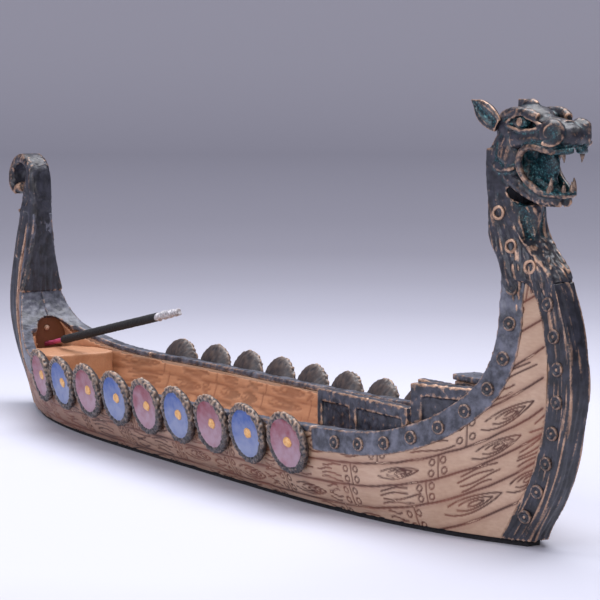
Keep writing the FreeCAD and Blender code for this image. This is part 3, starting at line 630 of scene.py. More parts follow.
# ------------------------------------------------------------------ hull
@dataclass
class Planking:
    """Carved planks over one face of the hull: seams, butt joints with nails, and grain.

    Places on the hull are given by their station along it and by their height over the
    sweep of the planks. Sizes are millimetres.
    """

    side: Side
    inside: bool = False
    spacing: float = 0.28
    lift: float = 0.22
    thickness: float = 0.3
    groove_depth: float = 0.2
    groove_width: float = 0.24
    seam_width: float = 0.28
    sweep_start: float = 55.0
    sweep_rate: float = 0.000445
    sweep_power: float = 2.58
    aft_sweep_start: float = -58.0
    aft_sweep_rate: float = 0.0009
    aft_sweep_power: float = 2.4
    ink: float = 1.0
    butt_pitch: float = 22.5
    butt_margin: float = 2.4
    tape_level: float = 0.22
    tape_step: float = 0.5
    steepest: float = 1.6
    least_facing: float = 0.2
    smoothings: int = 4
    nail_radius: float = 0.62
    seed: int = 4

    SEAMS = (-3.0, 2.4, 6.85, 11.3, 17.0, 22.6, 28.2, 33.8, 39.4)
    FIRST_BUTTS = (84.0, 88.0, 91.0, 97.0, 92.0, 104.0, 106.0, 108.0)
    INNER_SEAMS = (4.6, 8.2, 11.8, 15.6)

    def sweep(self, x: np.ndarray | float) -> np.ndarray | float:
        """Rise of the planks at a station, towards the bow and the stern."""
        if self.inside:
            return 0.0 * x
        fore = self.sweep_rate * np.maximum(x - self.sweep_start, 0.0) ** self.sweep_power
        aft = self.aft_sweep_rate * np.maximum(self.aft_sweep_start - x, 0.0) ** self.aft_sweep_power
        return fore + aft

    def surface(self) -> None:
        """Find the hull's face by looking at it square from the side, on an even grid."""
        low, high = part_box("hull_shell")
        start = np.array([low.x, low.z]) / MM
        end = np.array([high.x, high.z]) / MM
        counts = np.round((end - start) / self.spacing).astype(int)
        deselect()
        bpy.ops.mesh.primitive_grid_add(x_subdivisions=int(counts[0]), y_subdivisions=int(counts[1]),
                                        size=2.0)
        self.piece = bpy.context.object
        flat = np.empty(len(self.piece.data.vertices) * 3, np.float32)
        self.piece.data.vertices.foreach_get("co", flat)
        share = (flat.reshape(-1, 3)[:, :2].astype(float) + 1) / 2
        columns = np.round(share * counts).astype(int)
        tree = search_tree("hull_shell")
        self.measure(tree, start, end)
        self.along = np.interp(columns[:, 0], [0, counts[0]], self.lengths[[0, -1]])
        self.x = np.interp(self.along, self.lengths, self.stations)
        self.z = start[1] + share[:, 1] * (end[1] - start[1])
        depths = np.full((counts[0] + 1, counts[1] + 1), np.nan)
        sign = self.side.value
        towards_eye = -sign if self.inside else sign
        for (i, k), x, z in zip(columns, self.x, self.z):
            place, normal = look(tree, x, z, self.side, self.inside)
            if place and place.y * sign > 0 and normal.y * towards_eye > self.least_facing:
                depths[i, k] = place.y / MM
        kept = ~np.isnan(depths)
        for _ in range(self.smoothings):
            padded = np.pad(depths, 1, mode="edge")
            around = np.stack([padded[1:-1, 1:-1], padded[:-2, 1:-1], padded[2:, 1:-1], padded[1:-1, :-2],
                               padded[1:-1, 2:]])
            with np.errstate(all="ignore"):
                depths = np.where(kept, np.nanmean(around, axis=0), np.nan)
        self.y = depths[columns[:, 0], columns[:, 1]]

    def measure(self, tree: BVHTree, start: np.ndarray, end: np.ndarray) -> None:
        """Run a tape along the hull, so that the carving keeps its size where the side turns in.

        Args:
            tree: The hull's faces.
            start: Lowest station and height, in millimetres.
            end: Highest station and height.
        """
        self.stations = np.arange(start[0], end[0], self.tape_step)
        level = start[1] + (end[1] - start[1]) * self.tape_level
        depth = []
        for x in self.stations:
            place = look(tree, x, level, self.side, self.inside)[0]
            depth.append(place.y / MM if place else (depth[-1] if depth else 0.0))
        slope = np.clip(np.gradient(np.array(depth), self.tape_step), -self.steepest, self.steepest)
        lengths = np.cumsum(np.sqrt(1 + slope ** 2)) * self.tape_step
        self.lengths = lengths - np.interp(0.0, self.stations, lengths)

    def route(self, places: list[tuple]) -> np.ndarray:
        """Turn places along and over the planks into stations and heights."""
        places = np.array(places, float)
        x = np.interp(places[:, 0], self.lengths, self.stations)
        return np.stack([places[:, 0], places[:, 1] + self.sweep(x)], axis=1)

    def lay_out(self) -> list[tuple]:
        """Draw every carved line: its places, and whether it is a seam."""
        dice = random.Random(self.seed + self.side.value + 7 * self.inside)
        lines = []
        seams = self.INNER_SEAMS if self.inside else self.SEAMS
        first, last = self.lengths[0], self.lengths[-1]
        for seam in seams:
            steps = np.arange(first, last, 3.0)
            lines.append(([(a, seam + dice.uniform(-0.12, 0.12)) for a in steps], True))
        for strake, (low, high) in enumerate(zip(seams, seams[1:])):
            butt = float(np.interp(self.FIRST_BUTTS[strake], self.stations, self.lengths))
            butts = []
            while butt > first:
                butts.append(butt)
                lines += self.butt_joint(butt, low, high, dice)
                butt -= self.butt_pitch + dice.uniform(-2, 2)
            lines += self.grain(low, high, first, last, butts, dice)
        return lines

    def butt_joint(self, place: float, low: float, high: float, dice: random.Random) -> list[tuple]:
        """Upright line where two planks meet, with two nails on each side of it."""
        lines = [([(place, low), (place + 0.25, high)], False)]
        if self.inside:
            return lines
        for across in (-1.35, 1.35):
            for up in (0.27, 0.73):
                x = place + across + dice.uniform(-0.2, 0.2)
                z = low + (high - low) * up
                lines.append(([(x + self.nail_radius * math.cos(turn),
                                z + self.nail_radius * math.sin(turn)) for turn in np.linspace(0, 2
                                                                                               * math.pi,
                                                                                               11)], False))
        return lines

    def grain(self, low: float, high: float, first: float, last: float, butts: list[float],
              dice: random.Random) -> list[tuple]:
        """Nested flames and long wavy lines along one plank, clear of its joints."""
        lines = []
        place = first + dice.uniform(0, 6)
        height = high - low
        while place < last - 3:
            length = dice.uniform(8, 15)
            ahead = [butt for butt in butts if place - self.butt_margin < butt < place + length
                     + self.butt_margin]
            if ahead:
                length = min(ahead) - self.butt_margin - place
            if length > 7 and dice.random() < 0.5:
                middle = low + height * dice.uniform(0.42, 0.58)
                swell = height * dice.uniform(0.26, 0.36)
                for share in (1.0, 0.62, 0.28):
                    start = place + length * (1 - share) * 0.6
                    lines.append((self.flame(start, middle, length * share, swell * share), False))
            elif length > 1.5:
                for level in (0.2, 0.42, 0.62, 0.84):
                    start = place + dice.uniform(0, length * 0.25)
                    run = length * dice.uniform(0.55, 0.95)
                    lines.append((self.wave(start, low + height * level, run, height * 0.07, dice), False))
            place += max(length, 0) + (2 * self.butt_margin if ahead else dice.uniform(0.4, 1.5))
        return lines

    @staticmethod
    def flame(place: float, middle: float, length: float, swell: float) -> list[tuple]:
        """Loop of grain, open at its aft end and pointed at its fore end."""
        shares = np.concatenate([np.linspace(0.12, 1, 7), np.linspace(0.9, 0.04, 7)])
        signs = [1] * 7 + [-1] * 7
        return [(place + length * t, middle + sign * swell * math.sin(math.pi * t) ** 0.7
                 * (1.1 - 0.4 * t)) for t, sign in zip(shares, signs)]

    @staticmethod
    def wave(start: float, level: float, run: float, swing: float, dice: random.Random) -> list[tuple]:
        """Wavy line of the grain."""
        phase = dice.uniform(0, 2 * math.pi)
        return [(start + run * t, level + swing * math.sin(phase + 4.5 * t)) for t in np.linspace(0, 1, 8)]

    def carve(self) -> tuple[np.ndarray, np.ndarray]:
        """Strength of the carving at each grid point, and of the stain that spreads round a seam."""
        order = np.argsort(self.along)
        stations = self.along[order]
        groove = np.zeros(len(order))
        halo = np.zeros(len(order))
        for places, is_seam in self.lay_out():
            route = self.route(places)
            width = self.seam_width if is_seam else self.groove_width
            reach = width * 4 if is_seam else width * 2
            for start, end in zip(route, route[1:]):
                first = np.searchsorted(stations, min(start[0], end[0]) - reach)
                last = np.searchsorted(stations, max(start[0], end[0]) + reach)
                near = order[first:last]
                near = near[np.abs(self.z[near] - (start[1] + end[1]) / 2) < reach + abs(start[1] - end[1])
                            / 2]
                if not len(near):
                    continue
                spots = np.stack([self.along[near], self.z[near]], axis=1)
                line = end - start
                share = np.clip((spots - start) @ line / max(line @ line, 1e-9), 0, 1)
                gap = np.linalg.norm(spots - start - share[:, None] * line, axis=1)
                groove[near] = np.maximum(groove[near], np.clip(1.6 - 1.6 * gap / width, 0, 1))
                if is_seam:
                    halo[near] = np.maximum(halo[near], np.clip(1 - gap / reach, 0, 1))
        return groove, halo

    def build(self, material: bpy.types.Material) -> bpy.types.Object:
        """Make the planking, carve it and dress it.

        Args:
            material: Finish of the planks.

        Returns:
            The planking.
        """
        self.surface()
        groove, halo = self.carve()
        face = -self.side.value if self.inside else self.side.value
        spots = np.stack([self.x / 6, np.zeros_like(self.x), self.z], axis=1)
        bump = coarse_noise(spots, (1.6, 1.6, 1.6), self.seed) * 0.06
        put_points(self.piece, np.stack([self.x, np.nan_to_num(self.y), self.z], axis=1))
        casting = Casting(self.piece)
        casting.normals *= np.sign(casting.normals[:, 1] * face)[:, None]
        casting.press(self.lift + bump - self.groove_depth * groove)
        casting.paint("groove", groove * self.ink)
        casting.paint("halo", halo * self.ink)
        pick(self.piece)
        self.piece.data.vertices.foreach_set("select", np.isnan(self.y))
        for element in (self.piece.data.edges, self.piece.data.polygons):
            element.foreach_set("select", np.zeros(len(element), bool))
        bpy.ops.object.mode_set(mode="EDIT")
        bpy.ops.mesh.select_mode(type="VERT")
        bpy.ops.mesh.delete(type="VERT")
        bpy.ops.mesh.select_all(action="SELECT")
        if face > 0:
            bpy.ops.mesh.flip_normals()
        bpy.ops.object.mode_set(mode="OBJECT")
        apply_modifier(self.piece, "SOLIDIFY", thickness=self.thickness * MM, offset=-1.0)
        self.piece.name = ("inner_planking_" if self.inside else "planking_") + self.side.word
        return finish_piece(self.piece, material)


@dataclass
class Hull:
    """The carved hull, its felt pad, and the wooden step and niche at the stern."""

    step_voxel: float = 0.35

    def build(self) -> None:
        """Make and dress the hull's pieces."""
        outer = CarvedWoodPaint("carved_wood_paint").make()
        inner = CarvedWoodPaint("carved_wood_inside", pale="#cf9f80", warm="#b98362", aged="#bd8a68").make()
        for side in Side:
            Planking(side).build(outer)
            Planking(side, inside=True, spacing=0.45, lift=0.32, groove_width=0.4, ink=0.45,
                     seed=11).build(inner)
        shell = CarvedWoodPaint("shell_wood", aged="#74482f", fore_mm=-86.0, aft_mm=-97.0).make()
        dress_node("hull_shell", shell)
        felt = GrainyCoat("black_felt", "#101013", "#26262c", 0.5, roughness=0.95, relief=0.8).make()
        dress_node("base_pad", felt)
        step = Casting(node_copy("stern_platform"), self.step_voxel, 3)
        step.press(coarse_noise(step.points, (5.0, 1.2, 3.0), 3) * 0.12)
        step.piece.name = "stern_step"
        finish_piece(step.piece, inner, ("stern_platform",))
        stud = Casting(node_copy("stern_stud"), 0.12, 3)
        stud.piece.name = "niche_stud"
        pale = GrainyCoat("stud_paint", "#b98e74", "#e0c3ae", 0.5, roughness=0.4).make()
        finish_piece(stud.piece, pale, ("stern_stud",))


# ------------------------------------------------------------------ bronzed trim
@dataclass
class BronzedTrim:
    """Bands, rails, stem, ring studs and deck furniture, cast with soft edges and rubbed copper."""

    band_voxel: float = 0.28
    stud_voxel: float = 0.13
    streak_depth: float = 0.3
    streak_width: float = 0.7
    streak_length: float = 9.0
    edge_step: float = 1.5

    def band(self, node: str, name: str, material: bpy.types.Material, pitting: float = 0.07) -> None:
        """Cast one plain piece: softened edges and a pitted face."""
        piece = Casting(node_copy(node), self.band_voxel, 3)
        pits = coarse_noise(piece.points, (1.1, 1.1, 1.1), 5)
        piece.press(pits * pitting)
        piece.wear(0.09)
        piece.piece.name = name
        finish_piece(piece.piece, material, (node,))

    def streaked(self, piece: Casting, front: bool) -> None:
        """Carve long streaks that follow the fore or aft edge of an upright post."""
        x, y, z = piece.points.T
        levels = np.arange(z.min(), z.max() + self.edge_step, self.edge_step)
        outermost = np.max if front else np.min
        edge = [outermost(x[np.abs(z - level) < self.edge_step]) for level in levels]
        spots = np.stack([x - np.interp(z, levels, edge), y, z], axis=1)
        grain = (self.streak_width, self.streak_width, self.streak_length)
        ridges = coarse_noise(spots, grain, 9) + 0.5 * coarse_noise(spots, tuple(g / 2 for g in grain), 10)
        patches = coarse_noise(spots, (6.0, 6.0, 9.0), 12)
        piece.press(ridges * self.streak_depth * 0.6)
        piece.wear(0.08)
        piece.paint("streak", (ridges - 0.1) * 0.9 + patches * 0.5)

    def build(self) -> None:
        """Make and dress the trim."""
        paint = PatinatedResin().make()
        slate = PatinatedResin("slate_blue_resin", dark="#2f313b", slate="#666875", rub_start=0.6,
                               rub_end=1.25).make()
        frames = PatinatedResin("rubbed_frame_resin", dark="#1d1f2a", slate="#474854", rub_start=0.3,
                                rub_end=0.8).make()
        for side in Side:
            word = side.word
            self.band("bow_band_" + word, "bow_strap_" + word, slate)
            self.band("stern_band_" + word, "stern_strap_" + word, slate)
            self.band("gunwale_rail_" + word, "rail_" + word, slate)
            self.band("washboard_aft_" + word, "framed_board_aft_" + word, frames, 0.12)
            self.band("washboard_fore_" + word, "framed_board_fore_" + word, frames, 0.12)
            for node, name in (("band_rings_", "strap_studs_"), ("stem_rings_", "stem_studs_")):
                studs = Casting(node_copy(node + word), self.stud_voxel, 1)
                studs.wear(0.035, 2)
                studs.piece.name = name + word
                finish_piece(studs.piece, paint, (node + word,))
        self.band("bow_plinth", "plinth_block", paint, 0.12)
        self.band("bow_plinth_cap", "plinth_lid", slate, 0.12)
        dress_node("foredeck", slate)
        stem = Casting(node_copy("stem_post"), 0.26, 3)
        self.streaked(stem, True)
        stem.piece.name = "stem_casting"
        finish_piece(stem.piece, paint, ("stem_post",))


@dataclass
class SternScroll:
    """Stern post that rises to a ribbon curled backwards round a small ball."""

    half_width: float = 3.2
    voxel: float = 0.28
    hull_top: float = 47.0
    ribs: int = 8
    bare_height: float = 0.08

    PATH = ((-103.9, 29.5), (-104.1, 33.0), (-104.1, 38.0), (-103.8, 45.0), (-103.8, 52.0), (-103.9, 58.0),
            (-105.0, 62.0), (-108.4, 64.0), (-112.2, 63.8), (-115.2, 61.4), (-116.1, 58.3), (-115.0, 55.6),
            (-112.9, 55.2))
    RADII = (0.9, 1.3, 1.6, 1.7, 1.7, 1.6, 1.5, 1.35, 1.25, 1.15, 1.05, 0.95, 0.9)
    BACK = ((-112.4, 38.0), (-110.8, 44.0), (-108.6, 50.0), (-106.6, 56.0), (-105.2, 60.0))
    BACK_RADII = (1.8, 1.9, 1.8, 1.5, 0.8)

    def half_width_at(self, points: np.ndarray, level: float) -> float:
        """Half-width of the post's fore face at a height: the hull's own, then the ribbon's."""
        if level > self.hull_top:
            return self.half_width
        near = points[(np.abs(points[:, 2] - level) < 2.0) & (points[:, 0] > -107.5)]
        return max(float(np.abs(near[:, 1]).max()) if len(near) else 0.0, self.half_width)

    def build(self) -> None:
        """Make and dress the post with its scroll."""
        reels = [node_copy("stern_post")]
        gauge = node_copy("stern_post", "stern_band_port", "stern_band_starboard")
        fore_face, post = Casting(gauge).points, Casting(reels[0]).points
        bpy.data.objects.remove(gauge)
        for line, radii, points in ((self.PATH, self.RADII, fore_face), (self.BACK, self.BACK_RADII, post)):
            for shift in np.linspace(-1, 1, self.ribs):
                path = [(x, shift * (self.half_width_at(points, z) - radius), z) for (x, z),
                        radius in zip(line, radii)]
                reels.append(rod(path, radii))
        reels.append(ball((-112.7, 0, 56.2), (1.5, self.half_width * 0.95, 1.5)))
        piece = Casting(joined(reels, "stern_scroll_casting"), self.voxel, 9)
        BronzedTrim(streak_depth=0.14).streaked(piece, False)
        x, y, z = piece.points.T
        corner = np.clip(np.abs(y) / 2.0 - 0.6, 0, 1)
        quiet = np.where((x > -108.0) & (z < 62.0), corner, 1.0) * off_joint(z)
        piece.paint("rub", piece.convexity(3) / self.bare_height * quiet)
        piece.paint("streak", np.where(x > -107.0, 0.0, 1.0) * np.clip(piece.convexity(4)
                                                                       / self.bare_height, 0, 1))
        finish_piece(piece.piece, PatinatedResin("stern_resin").make(), ("stern_post",
                                                                                          "stern_scroll"))


# ------------------------------------------------------------------ shields
@dataclass
class ShieldRow:
    """Nine round shields on one side, dished in front, domed behind, with ragged rims."""

    side: Side
    count: int = 9
    boss_height: float = 1.1
    seats: list = field(default_factory=list)
    thickness: float = 2.0
    around: int = 104
    rim_relief: float = 0.24
    rim_grain: float = 0.75
    dish_radius: float = 4.9

    PROFILE = ((0.6, -1.3), (2.2, -1.2), (3.8, -0.9), (5.0, -0.35), (5.9, 0.25), (6.4, 0.8), (6.62, 1.3),
               (6.5, 1.75), (6.1, 2.0), (5.6, 2.05), (5.2, 1.95), (4.9, 1.7), (4.6, 1.45), (4.0, 1.28),
               (3.0, 1.16), (1.8, 1.1), (0.6, 1.08))

    def blank(self) -> bpy.types.Object:
        """Turn the plain shield, ring by ring, from its back to its dish."""
        deselect()
        radius, height = self.PROFILE[0]
        bpy.ops.mesh.primitive_circle_add(vertices=self.around, radius=radius * MM, location=(0, 0,
                                                                                              height * MM))
        piece = bpy.context.object
        bpy.ops.object.transform_apply(location=True)
        with whole_mesh():
            for (inner, low), (outer, high) in zip(self.PROFILE, self.PROFILE[1:]):
                bpy.ops.mesh.extrude_region_move(TRANSFORM_OT_translate={"value": (0, 0,
                                                                                   (high - low) * MM)})
                share = outer / inner
                bpy.ops.transform.resize(value=(share, share, 1), center_override=(0, 0, high * MM))
            bpy.ops.mesh.edge_face_add()
        apply_modifier(piece, "SUBSURF", levels=1, render_levels=1)
        bpy.ops.object.mode_set(mode="EDIT")
        bpy.ops.mesh.select_all(action="DESELECT")
        bpy.ops.mesh.select_non_manifold()
        bpy.ops.mesh.edge_face_add()
        bpy.ops.mesh.select_all(action="SELECT")
        bpy.ops.mesh.normals_make_consistent(inside=False)
        bpy.ops.object.mode_set(mode="OBJECT")
        return piece

    def pose(self, node: str) -> tuple[np.ndarray, np.ndarray]:
        """Find the middle of a CAD shield's front and the way that it faces."""
        points = np.array([v.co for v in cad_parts[node].data.vertices], float) / MM
        facing = np.array([0.0, self.side.value * 0.98, -0.18])
        for reach in (0.6, 0.25, 0.08):
            depth = points @ facing
            front = points[depth > depth.max() - reach]
            centre = (front.max(axis=0) + front.min(axis=0)) / 2
            facing = np.linalg.svd(front - front.mean(axis=0))[2][2]
            facing *= np.sign(facing[1] * self.side.value)
        return centre, facing

    def place(self, blank: bpy.types.Object, number: int) -> bpy.types.Object:
        """Copy the blank onto one CAD shield and roughen its rim its own way."""
        node = "shield_%s_%d" % (self.side.word, number)
        centre, facing = self.pose(node)
        piece = bpy.data.objects.new(node.replace("shield", "round_shield"), blank.data.copy())
        bpy.context.scene.collection.objects.link(piece)
        shield = Casting(piece)
        reach = np.hypot(shield.points[:, 0], shield.points[:, 1])
        on_rim = np.clip((reach - self.dish_radius + 0.1) / 0.4, 0, 1)
        front = shield.points[:, 2] > self.thickness * 0.5
        lumps = coarse_noise(shield.points, (self.rim_grain,) * 3, number + 20 * (self.side.value + 2))
        shield.press(lumps * np.where(front, self.rim_relief * on_rim, self.rim_relief * 0.4) - 0.12
                     * on_rim * front)
        height = shield.convexity(2)
        shield.paint("rub", height / 0.09 * np.where(front, 1.0, 0.3))
        shield.paint("hollow", np.where(front, 0.0, 0.93))
        shield.paint("dish", np.where(front, 1 - on_rim, 0.0))
        up = np.array([0.0, 0.0, 1.0])
        across = np.cross(up, facing)
        across /= np.linalg.norm(across)
        axes = np.stack([across, np.cross(facing, across), facing])
        put_points(piece, shield.points @ axes + centre - facing * self.thickness)
        self.seats.append((centre - facing * (self.thickness - self.boss_height), axes))
        return piece

    def bosses(self) -> bpy.types.Object:
        """Low painted domes in the middle of the dishes, as one group."""
        domes = []
        for number, (seat, axes) in enumerate(self.seats):
            dome = ball((0, 0, 0), (1.3, 1.15, 0.42))
            bpy.ops.object.transform_apply(location=True, rotation=True, scale=True)
            wax = Casting(dome)
            wax.press(coarse_noise(wax.points, (0.9, 0.9, 0.9), number) * 0.1)
            put_points(dome, wax.points @ axes + seat)
            domes.append(dome)
        return joined(domes, "painted_bosses_" + self.side.word)

    def build(self, paints: dict[Stain, bpy.types.Material], boss_paint: bpy.types.Material) -> None:
        """Make and dress the row.

        Args:
            paints: Finish of each kind of shield.
            boss_paint: Finish of the bosses.
        """
        blank = self.blank()
        for number in range(1, self.count + 1):
            stain = Stain.RED if number % 2 else Stain.BLUE
            node = "shield_%s_%d" % (self.side.word, number)
            piece = self.place(blank, number)
            finish_piece(piece, paints[stain], (node,))
        bpy.data.objects.remove(blank)
        finish_piece(self.bosses(), boss_paint, ("shield_bosses_" + self.side.word,))


# ------------------------------------------------------------------ dragon
@dataclass
class Dragon:
    """Neck and head of the figurehead: one casting, with its eyes, ears and teeth set in."""

    voxel: float = 0.22
    lid: float = 0.36
    lip: float = 0.68
    sway_height: float = 15.0
    sway_depth: float = 1.9
    apex_top: float = 54.5
    cheek_reach: float = 4.5

    STUDS = ((100.9, 62.1), (104.1, 56.1), (109.2, 52.6))
    CHEEK = (102.0, 5.2, 73.6)
    CLAY = (
        (ball, (102.3, 0, 77.6), (5.9, 4.7, 4.1)),
        (ball, (99.2, 0, 72.8), (3.9, 4.3, 5.2)),
        (ball, (105.8, 0, 79.6), (4.6, 3.6, 2.5), 8),
        (ball, (104.3, 0, 82.0), (2.4, 1.0, 1.25)),
        (rod, ((106, 0, 78.0), (111, 0, 77.6), (115.5, 0, 77.0)), (3.0, 2.5, 2.6)),
        (ball, (115.0, 0, 76.6), (3.2, 4.0, 2.5)),
        (ball, (109.4, 0, 71.2), (3.6, 1.1, 3.4)),
        (ball, (111.0, 0, 75.9), (6.0, 3.8, 1.5)),
        (rod, ((104, 0, 69.4), (108, 0, 67.4), (111.5, 0, 65.8), (114.4, 0, 65.2)), (2.0, 1.6, 1.2, 1.0)),
        (rod, ((104.5, 0, 71.0), (108.8, 0, 69.4), (112.0, 0, 68.0)), (1.6, 1.2, 0.7)),
        (rod, ((104.5, 0, 74.0), (107.5, 0, 73.4)), (2.6, 1.6)),
    )
    TEETH = {
        ("fangs", "upper_fangs"): (
            (((116.6, 2.3, 74.0), (117.1, 2.1, 73.0), (116.9, 2.0, 71.9)), (0.6, 0.42, 0.06)),),
        ("jaw_teeth", "lower_teeth"): (
            (((113.6, 2.7, 66.4), (114.1, 2.7, 67.8), (114.0, 2.6, 69.0)), (0.7, 0.5, 0.1)),
            (((115.3, 0.9, 66.2), (115.6, 0.9, 67.4), (115.5, 0.9, 68.4)), (0.55, 0.4, 0.08))),
    }

    def head_mass(self) -> list[bpy.types.Object]:
        """Rough out the head and neck in balls and rods of clay."""
        clay = [node_copy("dragon_neck")] + [tool(*measures) for tool, *measures in self.CLAY]
        for side in Side:
            clay.append(ball((102.0, 3.3 * side.value, 72.6), (3.9, 1.9, 4.7), -12))
            clay += [rod(mirrored(path, side), radii) for path, radii in self.side_rods()]
            clay.append(ball((114.9, 3.2 * side.value, 77.2), (2.9, 2.1, 2.7)))
            clay += [rod(path, radii) for path, radii in self.apex(side)]
        return clay

    def sway(self, z: np.ndarray | float) -> np.ndarray | float:
        """How far the neck leans back between the stem and the throat."""
        share = np.clip((z - STEM_TOP) / self.sway_height, 0, 1)
        return self.sway_depth * np.sin(math.pi * share) ** 2

    def apex(self, side: Side) -> list[tuple]:
        """Streaky flanks that run the strap and the stem into the neck and close over the planks."""
        tree = search_tree("dragon_neck", "hull_shell", "stem_post", "bow_band_" + side.word)
        rods = []
        for number, x in enumerate(np.arange(100.6, 115.2, 0.8)):
            over_planks = 104.4 < x < 110.0
            lowest = min(50.6 - abs(x - 107.2) * 2.6, 50.0) if over_planks else 46.5 + 1.2 * (number % 2)
            path = []
            for z in lowest + (self.apex_top - lowest) * np.linspace(0, 1, 5):
                leant = x - 0.35 * (z - STEM_TOP)
                place = look(tree, leant, z, side)[0]
                if place and place.y * side.value > 0:
                    path.append((leant, place.y / MM - 0.5 * side.value, z))
            if len(path) > 3:
                rods.append((path, (0.35, 0.75, 0.85, 0.7, 0.3)[:len(path)]))
        return rods

    def side_rods(self) -> list[tuple]:
        """Brow, lids, lips, jaw and nostril scroll of the port side, with their radii."""
        scroll = [(116.1 + 0.7 * r * math.cos(t), 4.3 - 0.7 * r * math.cos(t), 77.2 + r * math.sin(t))
                  for r, t in zip(np.linspace(2.5, 0.5, 14), np.linspace(-2.4, 7.4, 14))]
        return [
            ([(100.6, 3.6, 79.9), (104.5, 4.5, 81.2), (108.9, 4.4, 81.0), (111.2, 3.5, 79.8)],
             [0.8, 1.1, 1.2, 0.8]),
            ([(102.6, 4.3, 78.6), (104.9, 4.9, 80.0), (107.5, 5.1, 80.5), (110.0, 4.5, 79.8),
              (112.6, 3.5, 78.3)], [self.lid] * 5),
            ([(102.6, 4.3, 78.6), (105.0, 4.9, 77.8), (107.6, 5.0, 77.5), (110.3, 4.4, 77.6),
              (112.6, 3.5, 78.2)], [self.lid] * 5),
            ([(103.6, 4.5, 77.2), (107.0, 4.9, 76.5), (111.0, 4.2, 76.7)], [0.3, 0.34, 0.25]),
            ([(106.3, 4.3, 71.4), (106.9, 4.6, 73.2), (108.8, 4.8, 74.7), (112.4, 4.6, 74.7),
              (115.2, 4.2, 73.8), (117.0, 2.7, 73.9), (117.8, 0.6, 74.2)], [self.lip] * 7),
            ([(106.3, 4.3, 71.4), (107.1, 4.3, 69.5), (109.2, 4.0, 67.7), (111.9, 3.6, 66.4),
              (114.2, 2.6, 66.0), (115.4, 1.2, 66.0), (115.6, 0.0, 66.0)], [self.lip] * 7),
            ([(102.6, 3.4, 69.0), (106, 3.6, 67.4), (109.6, 3.1, 65.4), (112.8, 2.1, 64.6),
              (114.6, 0.6, 64.6)], [1.5, 1.5, 1.2, 1.0, 0.9]),
            ([(104.6, 3.9, 75.5), (109.0, 3.6, 76.3), (113.5, 3.0, 76.2)], [1.6, 1.4, 1.3]),
            (scroll, list(np.linspace(0.44, 0.34, 14))),
            ([(100.9, 4.2, 76.9), (98.6, 4.3, 74.6), (98.3, 4.5, 72.2), (99.8, 4.8, 70.3),
              (102.8, 4.9, 69.9), (105.6, 4.7, 70.6)], [0.45, 0.5, 0.5, 0.5, 0.5, 0.4]),
            ([(101.0, 3.9, 67.6), (103.0, 3.7, 63.3), (106.4, 3.3, 58.8), (110.4, 2.9, 55.3),
              (114.0, 2.3, 50.6)], [0.5, 0.55, 0.5, 0.5, 0.5]),
        ]

    def carve(self, head: Casting) -> np.ndarray:
        """Cut the hollows, and return where the blue-green wash lies.

        Args:
            head: The roughed-out casting.

        Returns:
            Strength of the wash at each vertex.
        """
        wash = np.zeros(len(head.points))
        for side in Side:
            cuts = [([(107.6, 4.9, 79.1)], 1.9, -0.5, 0.7), ([(105.0, 5.0, 78.9), (110.4, 4.6, 78.6)], 0.9,
                                                             -0.35, 0.6), ([(116.7, 4.5, 77.2)], 2.2,
                                                                           -0.45, 0.9),
                    ([(118.4, 2.0, 76.0)], 0.8, -0.5, 1.0), ([(100.6, 4.6, 74.8), (100.4, 4.9, 72.2),
                                                              (102.4, 5.0, 71.2)], 0.9, -0.3, 0.8),
                    ([(104.6, 2.8, 65.2), (106.6, 2.2, 62.0), (109.0, 1.8, 58.6)], 2.4, -0.9, 1.0),
                    ([(110.5, 5.0, 75.7), (114.4, 4.6, 75.4)], 0.7, -0.35, 0.6),
                    ([(113.3, 3.4, 79.4), (112.2, 1.8, 80.2)], 1.2, -0.4, 0.4)]
            for path, radius, height, strength in cuts:
                wash = np.maximum(wash, head.stroke(mirrored(path, side), radius, height) * strength)
        return wash

    def cast_head(self, material: bpy.types.Material) -> None:
        """Make the head and neck and dress them."""
        head = Casting(joined(self.head_mass(), "dragon_casting"), self.voxel, 4)
        wash = self.carve(head)
        head.points[:, 0] -= self.sway(head.points[:, 2])
        x, y, z = head.points.T
        neck = np.clip((68.0 - z) / 6.0, 0, 1)
        back = np.interp(z, [50, 57, 64, 70, 78], [102.0, 99.3, 96.6, 95.6, 97.5])
        spots = np.stack([x - back, y, z], axis=1)
        ridges = coarse_noise(spots, (0.75, 0.75, 8.0), 3) + 0.5 * coarse_noise(spots, (0.4, 0.4, 5.0), 4)
        pores = coarse_noise(head.points, (0.9, 0.9, 0.9), 6)
        head.press(ridges * 0.15 * neck + pores * 0.05)
        mouth = ((x > 105.0) & (z > 66.0) & (z < 75.2) & (np.abs(y) < 3.7)).astype(float)
        hollow = np.clip(-head.convexity(3) / 0.05, 0, 1)
        on_head = np.clip((z - 62.0) / 5.0, 0, 1)
        rub = np.clip(head.convexity(3) / 0.07, 0, 1)
        head.paint("wash", np.maximum(wash, mouth) * 0.9 + hollow * on_head)
        head.paint("rub", rub * (1 - mouth) * off_joint(z))
        from_cheek = np.stack([x - self.CHEEK[0], y - np.sign(y) * self.CHEEK[1], z - self.CHEEK[2]],
                              axis=1)
        cheek = np.clip(1 - np.linalg.norm(from_cheek, axis=1) / self.cheek_reach, 0, 1)
        head.paint("streak", (ridges - 0.15) * neck * 0.9 + cheek * (0.5 + ridges * 0.6))
        finish_piece(head.piece, material, ("dragon_neck", "dragon_skull", "lower_jaw",
                                                             "brow_starboard", "brow_port",
                                                             "nostril_starboard", "nostril_port"))

